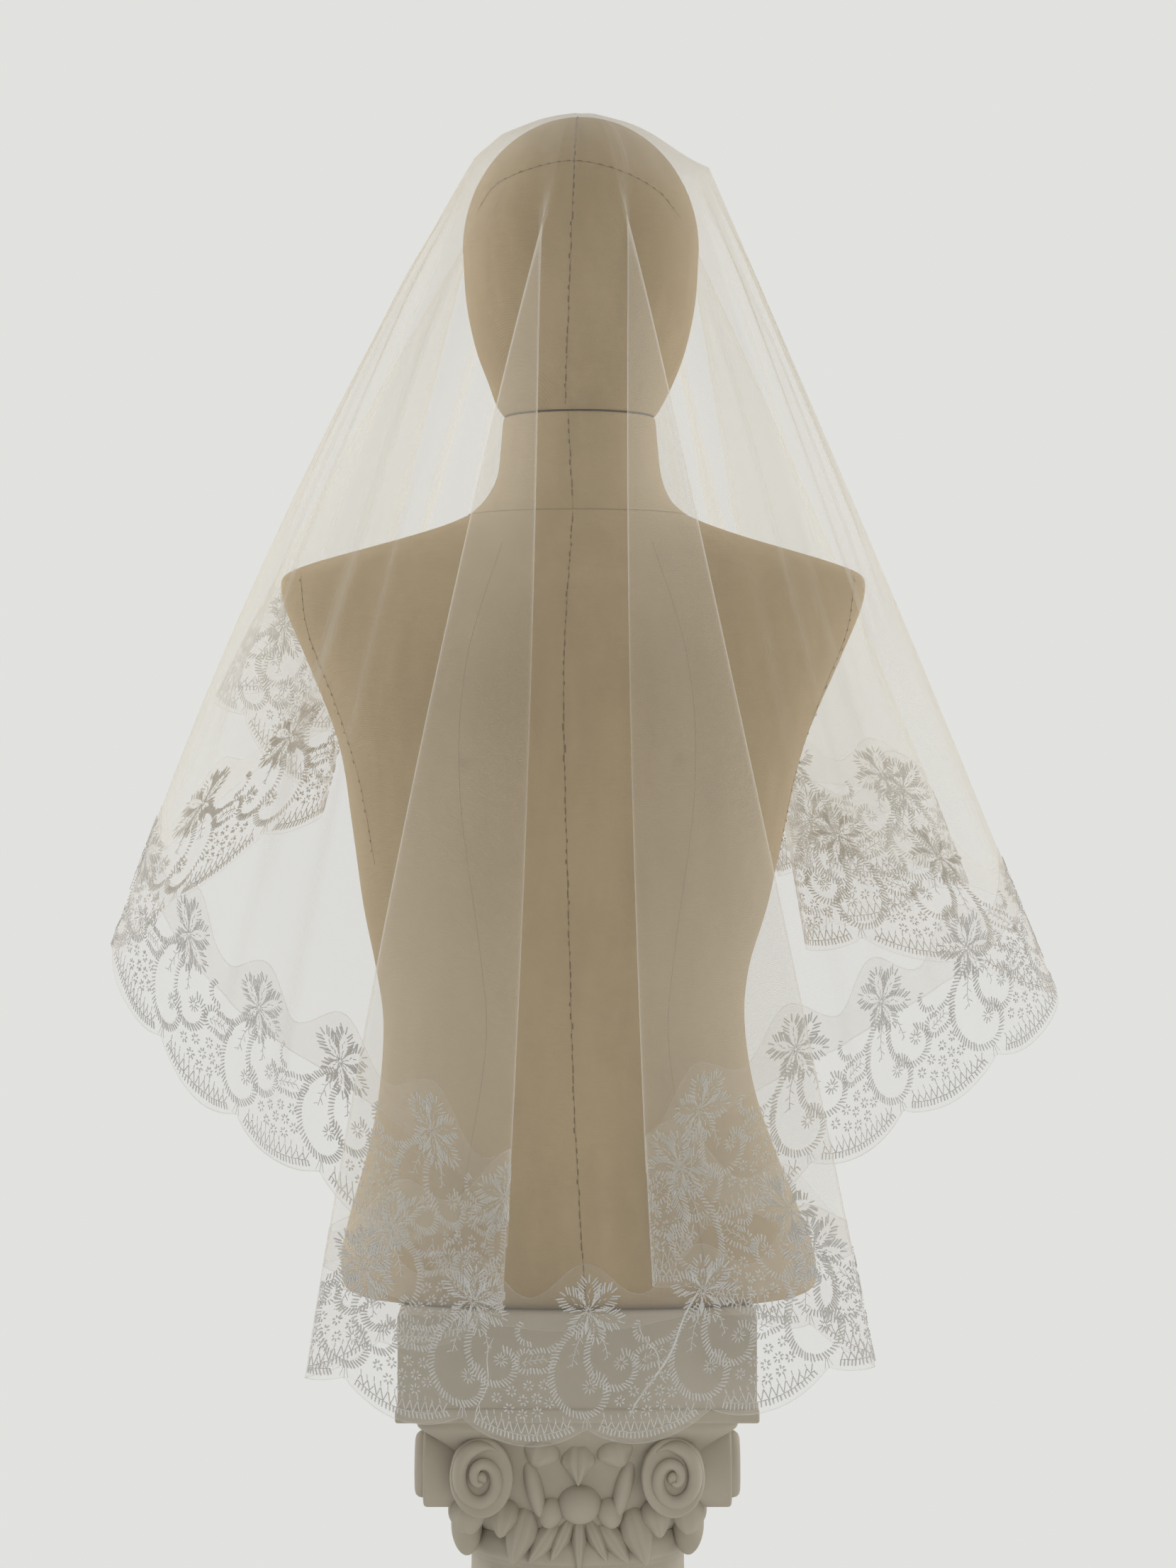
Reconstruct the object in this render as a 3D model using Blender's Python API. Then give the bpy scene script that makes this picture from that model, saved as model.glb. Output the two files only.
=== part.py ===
# A bridal veil of stiff tulle with an embroidered lace border, laid over a limbless dress form on its stand.
# Metres, +Z up. The back of the veil faces -Y, the origin is at the centre of the stand's flat foot.

import math

import bpy
import numpy as np

for old in list(bpy.data.objects):
    bpy.data.objects.remove(old, do_unlink=True)

# Cloth
TULLE_WALL = 0.0010
LACE_WALL = 0.0010
SEAM_GAP = 0.0003
TULLE_EDGE_UP = 0.058      # how far the tulle's cut edge lies above the hem line, under the lace
LACE_HEIGHT = 0.088        # from the hem line to the mean of the lace's wavy upper edge
LACE_TOP_WAVE = 0.011
SCALLOP_DROP = 0.013       # how far a scallop hangs below the hem line
SCALLOP_PITCH = 0.077
COLUMN_PITCH = 0.023       # about how far apart the cloth's columns lie at the hem
LEAST_COLUMNS = 2          # in each bend of the cloth
ROOT_SPREAD = 0.16         # share of the way to the next fold over which a rounded fold leaves the crown
MOST_END_SHARE = 0.3       # share of the way to the next fold that a rounded end may take up
CROWN_RINGS = 5
CROWN_COLUMNS = 52
CROWN_GAP = 0.0007         # between the cloth over the head and the folds that hang from it
LACE_GAP = 0.0005          # between the tulle and the lace on it
LEVEL = np.array((1.0, 1.0, 0.0))
TULLE_FINISH = ((0.93, 0.92, 0.89), 0.70)
LACE_FINISH = ((0.86, 0.86, 0.87), 0.75)
LINEN_FINISH = ((0.80, 0.74, 0.64), 0.85)
PLASTER_FINISH = ((0.78, 0.77, 0.75), 0.80)
PUFF_AT = 0.12             # share of a fold's length at which its puff is greatest
ROW_SHARES = (0.0, 0.04, 0.09, 0.16, 0.25, 0.38, 0.52, 0.68, 0.84, 1.0)

# Dress form
FORM_FOOT_Z = 0.434
HEAD_CENTRE = (0.002, 0.010, 1.1146)
HEAD_HALF = (0.0775, 0.0970, 0.0858)
FORM_SIDES = 44
CLOTH_OFF_HEAD = 0.0016    # from the head to the middle of the cloth's wall at the crown

# Stand
STAND_SIDES = 32
BLOCK_HALF = 0.112
BLOCK_FOOT_Z = 0.3660
LIP_HALF = 0.1135
LIP_HIGH = 0.009
VOLUTE_RADIUS = 0.027
VOLUTE_X = 0.061
VOLUTE_Z = 0.329
VOLUTE_IN_Y = 0.060
VOLUTE_OUT_Y = 0.106

# The folds of the veil in the order that the cloth runs, from the middle of the back towards -X and round.
# azimuth: where the fold leaves the crown, in degrees from the back. root_z: height there. stand: how far it
# stands off the head there. hem: where it ends. bow: sideways curve at half length. puff, puff_on: push away
# from the head just under the crown, before the fold and past it. round: width of the fold's rounded end at the
# hem, 0 where the cloth runs on.
FOLD_COLUMNS = ("name", "azimuth", "root_z", "stand", "hem_x", "hem_y", "hem_z", "bow_x", "bow_y", "puff", "puff_on", "round")
FOLDS = (
    ("back_middle", 0, 1.128, 0.002, 0.005, -0.160, 0.368, 0.000, -0.004, 0.006, 0.006, 0.0),
    ("back_left", 6, 1.132, 0.006, -0.090, -0.166, 0.383, -0.004, -0.005, 0.008, 0.008, 0.0),
    ("outer_left", 11.5, 1.137, 0.008, -0.164, -0.146, 0.412, -0.010, -0.006, 0.009, 0.005, 0.012),
    ("inner_left", 18, 1.137, 0.003, -0.045, -0.127, 0.440, 0.004, -0.004, 0.003, -0.001, 0.010),
    ("under_left", 27, 1.140, 0.003, -0.112, -0.112, 0.490, 0.000, -0.010, -0.002, -0.002, 0.0),
    ("wing_left_low", 37, 1.145, 0.003, -0.169, -0.106, 0.530, -0.004, -0.018, 0.000, 0.000, 0.0),
    ("wing_left_mid", 52, 1.150, 0.003, -0.222, -0.058, 0.556, -0.010, -0.022, 0.000, 0.000, 0.0),
    ("wing_left_high", 70, 1.158, 0.008, -0.268, -0.036, 0.600, -0.014, -0.014, 0.000, 0.000, 0.0),
    ("side_left", 86, 1.166, 0.012, -0.303, 0.020, 0.662, -0.016, 0.000, 0.000, 0.000, 0.034),
    ("front_left", 101, 1.164, 0.010, -0.240, 0.068, 0.716, -0.006, 0.006, 0.000, 0.000, 0.0),
    ("fold_left", 113, 1.154, 0.003, -0.172, 0.098, 0.752, 0.000, 0.010, 0.000, 0.000, 0.020),
    ("far_left", 125, 1.150, 0.003, -0.246, 0.166, 0.836, -0.006, 0.006, 0.000, 0.000, 0.030),
    ("valley_left", 136, 1.146, 0.001, -0.158, 0.150, 0.806, 0.000, 0.008, 0.000, 0.000, 0.024),
    ("nose_left", 147, 1.144, 0.002, -0.142, 0.262, 0.780, 0.000, 0.006, 0.002, 0.002, 0.032),
    ("valley_mid_left", 157, 1.140, 0.001, -0.074, 0.150, 0.768, 0.000, 0.008, 0.000, 0.000, 0.024),
    ("nose_mid_left", 169, 1.138, 0.002, -0.042, 0.276, 0.748, 0.000, 0.006, 0.002, 0.002, 0.034),
    ("valley_middle", 179, 1.138, 0.001, 0.014, 0.152, 0.738, 0.000, 0.008, 0.000, 0.000, 0.024),
    ("nose_mid_right", 190, 1.138, 0.002, 0.056, 0.270, 0.724, 0.000, 0.006, 0.002, 0.002, 0.032),
    ("valley_right", 201, 1.140, 0.001, 0.090, 0.150, 0.720, 0.000, 0.008, 0.000, 0.000, 0.024),
    ("nose_right", 212, 1.144, 0.002, 0.152, 0.250, 0.712, 0.000, 0.006, 0.002, 0.002, 0.032),
    ("valley_far_right", 223, 1.150, 0.001, 0.142, 0.142, 0.712, 0.000, 0.008, 0.000, 0.000, 0.020),
    ("far_right", 235, 1.154, 0.004, 0.266, 0.140, 0.704, 0.006, 0.006, 0.000, 0.000, 0.030),
    ("fold_right", 246, 1.160, 0.006, 0.153, 0.088, 0.664, 0.000, 0.010, 0.000, 0.000, 0.020),
    ("front_right", 258, 1.166, 0.014, 0.240, 0.058, 0.658, 0.004, 0.006, 0.000, 0.000, 0.0),
    ("side_right", 273, 1.169, 0.024, 0.312, 0.012, 0.632, 0.002, 0.000, 0.000, 0.000, 0.030),
    ("wing_right_high", 290, 1.160, 0.012, 0.272, -0.040, 0.592, 0.004, -0.014, 0.000, 0.000, 0.0),
    ("wing_right_mid", 307, 1.152, 0.004, 0.220, -0.060, 0.564, 0.004, -0.022, 0.000, 0.000, 0.0),
    ("wing_right_low", 320, 1.146, 0.003, 0.160, -0.104, 0.536, 0.000, -0.018, 0.000, 0.000, 0.0),
    ("under_right", 331, 1.140, 0.003, 0.104, -0.112, 0.508, 0.000, -0.010, -0.002, -0.002, 0.0),
    ("inner_right", 338, 1.137, 0.003, 0.046, -0.127, 0.466, -0.006, -0.004, -0.001, 0.003, 0.010),
    ("outer_right", 343.5, 1.137, 0.008, 0.180, -0.146, 0.420, 0.004, -0.006, 0.005, 0.009, 0.012),
    ("back_right", 351, 1.132, 0.006, 0.104, -0.164, 0.390, 0.002, -0.005, 0.008, 0.008, 0.0),
)

# Each stretch of cloth runs from the rounded end of one fold to that of another.
STRETCHES = (
    ("back", "outer_right", "outer_left"),
    ("pleat_left", "outer_left", "inner_left"),
    ("wing_left", "inner_left", "side_left"),
    ("front_left", "side_left", "far_left"),
    ("front_middle_left", "far_left", "nose_mid_left"),
    ("front_middle_right", "nose_mid_left", "far_right"),
    ("front_right", "far_right", "side_right"),
    ("wing_right", "side_right", "inner_right"),
    ("pleat_right", "inner_right", "outer_right"),
)

# The dress form's sections from its flat foot to the neck seam.
# Columns: z, half width, depth behind the centre, depth before it, centre x, centre y, squareness.
TORSO_RINGS = (
    (0.4340, 0.1470, 0.092, 0.084, 0.001, 0.000, 2.3),
    (0.4365, 0.1520, 0.097, 0.089, 0.001, 0.000, 2.3),
    (0.4420, 0.1545, 0.100, 0.092, 0.001, 0.000, 2.3),
    (0.4600, 0.1540, 0.101, 0.093, 0.000, 0.000, 2.3),
    (0.4900, 0.1450, 0.097, 0.091, -0.002, 0.000, 2.3),
    (0.5250, 0.1330, 0.088, 0.087, -0.004, 0.000, 2.3),
    (0.5650, 0.1225, 0.078, 0.081, -0.007, 0.000, 2.3),
    (0.6090, 0.1180, 0.075, 0.078, -0.009, 0.000, 2.3),
    (0.6450, 0.1220, 0.078, 0.081, -0.010, 0.000, 2.3),
    (0.6850, 0.1320, 0.086, 0.088, -0.008, 0.000, 2.3),
    (0.7350, 0.1410, 0.095, 0.101, -0.006, 0.000, 2.2),
    (0.7900, 0.1520, 0.100, 0.112, -0.004, 0.000, 2.1),
    (0.8420, 0.1730, 0.098, 0.108, -0.003, 0.000, 1.9),
    (0.8750, 0.1870, 0.090, 0.094, -0.003, 0.000, 1.7),
    (0.8920, 0.1910, 0.082, 0.084, -0.003, 0.000, 1.6),
    (0.9010, 0.1880, 0.075, 0.077, -0.003, 0.000, 1.6),
    (0.9080, 0.1720, 0.070, 0.072, -0.003, 0.001, 1.7),
    (0.9160, 0.1450, 0.065, 0.068, -0.002, 0.002, 1.8),
    (0.9250, 0.1130, 0.061, 0.065, -0.001, 0.003, 1.9),
    (0.9330, 0.0880, 0.058, 0.062, 0.000, 0.004, 2.0),
    (0.9397, 0.0720, 0.056, 0.060, 0.000, 0.005, 2.0),
)
NECK_RINGS = (
    (0.9400, 0.0715, 0.0555, 0.0595, 0.000, 0.005, 2.0),
    (0.9500, 0.0610, 0.0540, 0.0560, 0.000, 0.006, 2.0),
    (0.9650, 0.0540, 0.0525, 0.0540, 0.001, 0.007, 2.0),
    (0.9850, 0.0515, 0.0515, 0.0540, 0.001, 0.009, 2.0),
    (1.0042, 0.0500, 0.0520, 0.0560, 0.001, 0.010, 2.0),
)
HEAD_RINGS = (
    (1.0045, 0.0496, 0.0515, 0.0560, 0.001, 0.010, 2.0),
    (1.0130, 0.0545, 0.0580, 0.0640, 0.001, 0.010, 2.0),
    (1.0280, 0.0610, 0.0690, 0.0770, 0.002, 0.010, 2.0),
    (1.0500, 0.0690, 0.0820, 0.0880, 0.002, 0.010, 2.0),
    (1.0800, 0.0752, 0.0925, 0.0945, 0.002, 0.010, 2.0),
    (1.1146, 0.0775, 0.0970, 0.0970, 0.002, 0.010, 2.0),
)
DOME_TURNS = (14, 28, 42, 55, 67, 78, 86)    # degrees up the head's dome, above its widest ring

# The stand's sections, lowest first. Columns: z, half width, squareness.
CAPITAL_RINGS = (
    (0.2850, 0.0710, 2.0),
    (0.2950, 0.0780, 2.2),
    (0.3120, 0.0860, 2.8),
    (0.3300, 0.0900, 4.0),
    (0.3480, 0.0960, 7.0),
    (0.3580, 0.1030, 12.0),
    (0.3657, 0.1040, 12.0),
)
SHAFT_RINGS = (
    (0.0750, 0.0860, 2.0),
    (0.0850, 0.0780, 2.0),
    (0.1000, 0.0750, 2.0),
    (0.2600, 0.0695, 2.0),
    (0.2680, 0.0720, 2.0),
    (0.2760, 0.0735, 2.0),
    (0.2847, 0.0710, 2.0),
)
FOOT_RINGS = (
    (0.0000, 0.1150, 14.0),
    (0.0420, 0.1150, 14.0),
    (0.0440, 0.1050, 8.0),
    (0.0500, 0.0980, 2.0),
    (0.0620, 0.1010, 2.0),
    (0.0700, 0.0960, 2.0),
    (0.0747, 0.0870, 2.0),
)


def finish_material(name, colour, roughness):
    material = bpy.data.materials.new(name)
    material.use_nodes = True
    shader = material.node_tree.nodes["Principled BSDF"]
    shader.inputs["Base Color"].default_value = (*colour, 1.0)
    shader.inputs["Roughness"].default_value = roughness
    shader.inputs["Metallic"].default_value = 0.0
    return material


def add_object(name, points, faces, finish):
    mesh = bpy.data.meshes.new(name)
    mesh.from_pydata([tuple(point) for point in points], [], faces)
    mesh.update()
    obj = bpy.data.objects.new(name, mesh)
    bpy.context.scene.collection.objects.link(obj)
    colour, roughness = finish
    mesh.materials.append(finish_material(name, colour, roughness))
    for polygon in mesh.polygons:
        polygon.use_smooth = True
    mesh.set_sharp_from_angle(angle=math.radians(40))
    return obj


def section(half_x, back, front, square, sides):
    """Points of a rounded section about its own centre, from +X towards +Y."""
    points = []
    for i in range(sides):
        turn = 2 * math.pi * i / sides
        across, along = math.cos(turn), math.sin(turn)
        reach = (abs(across) ** square + abs(along) ** square) ** (-1 / square)
        depth = front if along > 0 else back
        points.append((half_x * across * reach, depth * along * reach))
    return points


def lofted(rings):
    """Points and faces of a closed body through rings of equal count, lowest first, each running from +X to +Y."""
    sides = len(rings[0])
    points = [point for ring in rings for point in ring]
    faces = [tuple(reversed(range(sides)))]
    for level in range(len(rings) - 1):
        low = level * sides
        for i in range(sides):
            j = (i + 1) % sides
            faces.append((low + i, low + j, low + sides + j, low + sides + i))
    top = (len(rings) - 1) * sides
    faces.append(tuple(range(top, top + sides)))
    return points, faces


def form_rings(table, sides):
    rings = []
    for z, half_width, back, front, centre_x, centre_y, square in table:
        outline = section(half_width, back, front, square, sides)
        rings.append([(centre_x + x, centre_y + y, z) for x, y in outline])
    return rings


def stand_rings(table, sides):
    return [[(x, y, z) for x, y in section(half, half, half, square, sides)] for z, half, square in table]


def head_rings(sides):
    rings = form_rings(HEAD_RINGS, sides)
    for turn in DOME_TURNS:
        up, out = math.sin(math.radians(turn)), math.cos(math.radians(turn))
        outline = section(HEAD_HALF[0] * out, HEAD_HALF[1] * out, HEAD_HALF[1] * out, 2.0, sides)
        z = HEAD_CENTRE[2] + HEAD_HALF[2] * up
        rings.append([(HEAD_CENTRE[0] + x, HEAD_CENTRE[1] + y, z) for x, y in outline])
    return rings


def away(azimuth):
    """The level direction at an azimuth, in degrees from the back towards -X."""
    turn = math.radians(azimuth)
    return np.array((-math.sin(turn), -math.cos(turn), 0.0))


def root_of(fold):
    """Where a fold leaves the crown: on the head's dome at its height, and off it by its stand."""
    up = (fold["root_z"] - HEAD_CENTRE[2]) / HEAD_HALF[2]
    out = math.sqrt(max(0.0, 1 - up * up))
    direction = away(fold["azimuth"])
    scale = np.array((HEAD_HALF[0] * out, HEAD_HALF[1] * out, 0.0))
    centre = np.array((HEAD_CENTRE[0], HEAD_CENTRE[1], fold["root_z"]))
    return centre + direction * scale + direction * (fold["stand"] + CLOTH_OFF_HEAD)


def fold_values(fold, push):
    """Root, hem, bow and puff of a fold in one row of numbers."""
    hem = (fold["hem_x"], fold["hem_y"], fold["hem_z"])
    bow = (fold["bow_x"], fold["bow_y"], 0.0)
    return np.concatenate([root_of(fold), hem, bow, away(fold["azimuth"]) * push])


def fold_controls():
    """The run's control rows, one for each plain fold and four round each rounded one, and each fold's place."""
    folds = [dict(zip(FOLD_COLUMNS, row)) for row in FOLDS]
    controls, places = [], {}
    for i, fold in enumerate(folds):
        if fold["round"] == 0:
            places[fold["name"]] = float(len(controls))
            controls.append(fold_values(fold, fold["puff"]))
            continue
        sides = (
            (1, fold_values(fold, fold["puff"]), fold_values(folds[i - 1], fold["puff"])),
            (-1, fold_values(fold, fold["puff_on"]), fold_values(folds[(i + 1) % len(folds)], fold["puff_on"])),
        )
        reaches = [(other - here)[3:6] * LEVEL for side, here, other in sides]
        across = reaches[0] / np.linalg.norm(reaches[0]) - reaches[1] / np.linalg.norm(reaches[1])
        across = across / np.linalg.norm(across) * fold["round"] / 2
        run = []
        for (side, here, other), reach in zip(sides, reaches):
            share = min(MOST_END_SHARE, fold["round"] / np.linalg.norm(reach))
            pair = []
            for part in (0.0, share):
                row = here + (other - here) * part
                row[0:3] = here[0:3] + (other - here)[0:3] * (part + ROOT_SPREAD)
                row[3:6] += across * side
                pair.append(row)
            run += pair[::-side]
        places[fold["name"]] = len(controls) + 1.5
        controls += run
    return np.array(controls), places


CONTROLS, PLACES = fold_controls()


def run_values(place):
    """Root, hem, bow and puff at a place along the run: a quadratic spline over the folds' rows."""
    count = len(CONTROLS)
    whole = math.floor(place + 0.5)
    share = place + 0.5 - whole
    before, here, after = (CONTROLS[(whole + step) % count] for step in (-1, 0, 1))
    weights = (0.5 * (1 - share) ** 2, 0.5 + share * (1 - share), 0.5 * share**2)
    return weights[0] * before + weights[1] * here + weights[2] * after


def cloth_point(place, above_hem):
    """The middle of the cloth at a place along the run, by its distance above the hem line."""
    values = run_values(place)
    root, hem, bow, puff = values[0:3], values[3:6], values[6:9], values[9:12]
    share = 1 - above_hem / np.linalg.norm(hem - root)
    swell = share / PUFF_AT * math.exp(1 - share / PUFF_AT)
    return root + (hem - root) * share + bow * 4 * share * (1 - share) + puff * swell


def cloth_frame(place, above_hem):
    """The point with its outward direction and its direction along the run."""
    step = 0.02
    point = cloth_point(place, above_hem)
    along = cloth_point(place + step, above_hem) - cloth_point(place - step, above_hem)
    down = cloth_point(place, above_hem - 0.004) - point
    out = np.cross(along, down)
    return point, out / np.linalg.norm(out), along / np.linalg.norm(along)


def wall(grid_out, grid_in):
    """Points and faces of a closed wall between two grids of rows by columns."""
    rows, columns = len(grid_out), len(grid_out[0])
    points = [point for row in grid_out for point in row] + [point for row in grid_in for point in row]
    inner = rows * columns

    def at(row, column):
        return row * columns + column

    faces = []
    for row in range(rows - 1):
        for column in range(columns - 1):
            a, b = at(row, column), at(row, column + 1)
            c, d = at(row + 1, column + 1), at(row + 1, column)
            faces.append((a, b, c, d))
            faces.append((inner + a, inner + d, inner + c, inner + b))
    for column in range(columns - 1):
        a, b = at(0, column), at(0, column + 1)
        c, d = at(rows - 1, column), at(rows - 1, column + 1)
        faces.append((b, a, inner + a, inner + b))
        faces.append((c, d, inner + d, inner + c))
    for row in range(rows - 1):
        a, b = at(row, 0), at(row + 1, 0)
        c, d = at(row, columns - 1), at(row + 1, columns - 1)
        faces.append((a, b, inner + b, inner + a))
        faces.append((d, c, inner + c, inner + d))
    return points, faces


def run_lengths():
    """Distance along the hem line at fine places, and the number of lace repeats that closes the round."""
    fine = 16
    places = np.arange(len(CONTROLS) * fine + 1) / fine
    hems = [run_values(place)[3:6] for place in places]
    lengths = np.cumsum([0.0] + [np.linalg.norm(b - a) for a, b in zip(hems, hems[1:])])
    return places, lengths, round(lengths[-1] / SCALLOP_PITCH)


RUN_PLACES, RUN_LENGTHS, REPEATS = run_lengths()


def repeat_phase(place):
    """How many lace repeats lie between the start of the run and this place."""
    turns, rest = divmod(place, len(CONTROLS))
    return (np.interp(rest, RUN_PLACES, RUN_LENGTHS) / RUN_LENGTHS[-1] + turns) * REPEATS


def place_of(phase):
    turns, rest = divmod(phase, REPEATS)
    return np.interp(rest / REPEATS * RUN_LENGTHS[-1], RUN_LENGTHS, RUN_PLACES) + turns * len(CONTROLS)


def stretch_places(start, end):
    """Places along the run from one fold to another: some in each bend, with one at each scallop's end."""
    first, last = PLACES[start], PLACES[end]
    if last < first:
        last += len(CONTROLS)
    places = [first]
    while places[-1] < last - 1e-9:
        low = places[-1]
        high = min(last, math.floor(low + 0.5 + 1e-9) + 0.5)
        length = (repeat_phase(high) - repeat_phase(low)) * SCALLOP_PITCH
        steps = max(math.ceil(LEAST_COLUMNS * (high - low)), round(length / COLUMN_PITCH))
        places += [low + (high - low) * step / steps for step in range(1, steps + 1)]
    for repeat in range(math.ceil(repeat_phase(first)), math.floor(repeat_phase(last)) + 1):
        inside = range(1, len(places) - 1)
        nearest = min(inside, key=lambda i: abs(repeat_phase(places[i]) - repeat))
        if places[nearest - 1] < place_of(repeat) < places[nearest + 1]:
            places[nearest] = place_of(repeat)
    return places


def edge_nudge(along, index, count):
    """The small step that holds a stretch clear of its neighbour at a seam."""
    if index == 0:
        return along * SEAM_GAP / 2
    if index == count - 1:
        return -along * SEAM_GAP / 2
    return along * 0.0


def cloth_wall(name, places, rows, off, thick, finish):
    """A wall along the run, at a distance outside the middle of the tulle. Each row gives its height at a place."""
    grid_out, grid_in = [], []
    for height_at in rows:
        row_out, row_in = [], []
        for index, place in enumerate(places):
            point, out, along = cloth_frame(place, height_at(place))
            point = point + edge_nudge(along, index, len(places))
            row_out.append(point + out * (off + thick / 2))
            row_in.append(point + out * (off - thick / 2))
        grid_out.append(row_out)
        grid_in.append(row_in)
    return add_object(name, *wall(grid_out, grid_in), finish)


def fold_length(place):
    values = run_values(place)
    return np.linalg.norm(values[3:6] - values[0:3])


def tulle_stretch(name, places):
    top = LACE_HEIGHT + LACE_TOP_WAVE

    def hung(share):
        return lambda place: top + (fold_length(place) - CROWN_GAP - top) * (1 - share)

    rows = [hung(share) for share in ROW_SHARES] + [lambda place: TULLE_EDGE_UP]
    cloth_wall("tulle_" + name, places, rows, 0.0, TULLE_WALL, TULLE_FINISH)


def lace_top(place):
    return LACE_HEIGHT + LACE_TOP_WAVE * math.cos(2 * math.pi * repeat_phase(place))


def lace_foot(place):
    return -SCALLOP_DROP * abs(math.sin(math.pi * repeat_phase(place))) ** 0.7


def lace_stretch(name, places):
    rows = [lace_top, lambda place: TULLE_EDGE_UP, lace_foot]
    off = TULLE_WALL / 2 + LACE_GAP + LACE_WALL / 2
    cloth_wall("lace_" + name, places, rows, off, LACE_WALL, LACE_FINISH)


def crown_line(place, share):
    """A point on the cloth over the head, from the pole at 0 to the fold's root at 1."""
    values = run_values(place)
    root, hem = values[0:3], values[3:6]
    down = (hem - root) / np.linalg.norm(hem - root)
    pole = np.array((HEAD_CENTRE[0], HEAD_CENTRE[1], HEAD_CENTRE[2] + HEAD_HALF[2] + CLOTH_OFF_HEAD))
    level = root - pole
    drop = -level[2]
    level[2] = 0.0
    first = pole + level * 0.56
    second = root - down * drop * 0.56
    rest = 1 - share
    return rest**3 * pole + 3 * rest**2 * share * first + 3 * rest * share**2 * second + share**3 * root


def tulle_crown():
    """The cloth over the head: rings from near the pole to the roots of the folds, closed at the pole."""
    fine = np.arange(len(CONTROLS) * 8 + 1) / 8
    roots = [run_values(place)[0:3] - HEAD_CENTRE for place in fine]
    turns = np.unwrap([math.atan2(-root[0], -root[1]) for root in roots])
    count = CROWN_COLUMNS
    places = [np.interp(turns[0] + 2 * math.pi * i / count, turns, fine) for i in range(count)]
    rings_out, rings_in = [], []
    for ring in range(1, CROWN_RINGS + 1):
        share = ring / CROWN_RINGS
        ring_out, ring_in = [], []
        for place in places:
            point = crown_line(place, share)
            along = crown_line(place + 0.05, share) - crown_line(place - 0.05, share)
            down = crown_line(place, share) - crown_line(place, share - 0.03)
            out = np.cross(along, down)
            out = out / np.linalg.norm(out)
            ring_out.append(point + out * TULLE_WALL / 2)
            ring_in.append(point - out * TULLE_WALL / 2)
        rings_out.append(ring_out)
        rings_in.append(ring_in)
    pole = crown_line(0.0, 0.0)
    lift = np.array((0.0, 0.0, TULLE_WALL / 2))
    points = [p for ring in rings_out for p in ring] + [p for ring in rings_in for p in ring]
    inner = CROWN_RINGS * count
    points += [pole + lift, pole - lift]
    top, under = len(points) - 2, len(points) - 1
    faces = []
    for i in range(count):
        j = (i + 1) % count
        faces.append((top, j, i))
        faces.append((under, inner + i, inner + j))
        for ring in range(CROWN_RINGS - 1):
            low = ring * count
            a, b, c, d = low + i, low + j, low + count + j, low + count + i
            faces.append((a, b, c, d))
            faces.append((inner + a, inner + d, inner + c, inner + b))
        rim = (CROWN_RINGS - 1) * count
        faces.append((rim + i, rim + j, inner + rim + j, inner + rim + i))
    return add_object("tulle_crown", points, faces, TULLE_FINISH)


def dress_form():
    add_object("form_torso", *lofted(form_rings(TORSO_RINGS, FORM_SIDES)), LINEN_FINISH)
    add_object("form_neck", *lofted(form_rings(NECK_RINGS, FORM_SIDES)), LINEN_FINISH)
    add_object("form_head", *lofted(head_rings(FORM_SIDES)), LINEN_FINISH)


def stand():
    top = FORM_FOOT_Z - SEAM_GAP
    block = (
        (BLOCK_FOOT_Z, LIP_HALF, 40.0),
        (BLOCK_FOOT_Z + LIP_HIGH, LIP_HALF, 40.0),
        (BLOCK_FOOT_Z + LIP_HIGH + 0.001, BLOCK_HALF, 40.0),
        (top, BLOCK_HALF, 40.0),
    )
    add_object("stand_block", *lofted(stand_rings(block, STAND_SIDES)), PLASTER_FINISH)
    capital = add_object("stand_capital", *lofted(stand_rings(CAPITAL_RINGS, STAND_SIDES)), PLASTER_FINISH)
    for side_x in (-1, 1):
        for side_y in (-1, 1):
            add_volute(capital, side_x, side_y)
    add_object("stand_shaft", *lofted(stand_rings(SHAFT_RINGS, STAND_SIDES)), PLASTER_FINISH)
    add_object("stand_foot", *lofted(stand_rings(FOOT_RINGS, STAND_SIDES)), PLASTER_FINISH)


def add_volute(capital, side_x, side_y):
    """A rolled scroll at one end of a face of the capital, joined to it."""
    name = f"volute_{side_x}_{side_y}"
    centre = (side_x * VOLUTE_X, side_y * (VOLUTE_IN_Y + VOLUTE_OUT_Y) / 2, VOLUTE_Z)
    bpy.ops.mesh.primitive_cylinder_add(
        vertices=24,
        radius=VOLUTE_RADIUS,
        depth=VOLUTE_OUT_Y - VOLUTE_IN_Y,
        location=centre,
        rotation=(math.pi / 2, 0.0, 0.0),
    )
    roll = bpy.context.object
    roll.name = name
    roll.hide_render = True
    roll.display_type = "WIRE"
    join = capital.modifiers.new(name, "BOOLEAN")
    join.operation = "UNION"
    join.object = roll


def veil():
    tulle_crown()
    for name, start, end in STRETCHES:
        places = stretch_places(start, end)
        tulle_stretch(name, places)
        lace_stretch(name, places)


dress_form()
stand()
veil()
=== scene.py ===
# A bridal veil of ivory tulle with an embroidered lace border, over a linen dress form on a plaster stand.
# The back of the veil faces the camera, which looks along +Y.

import math

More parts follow.
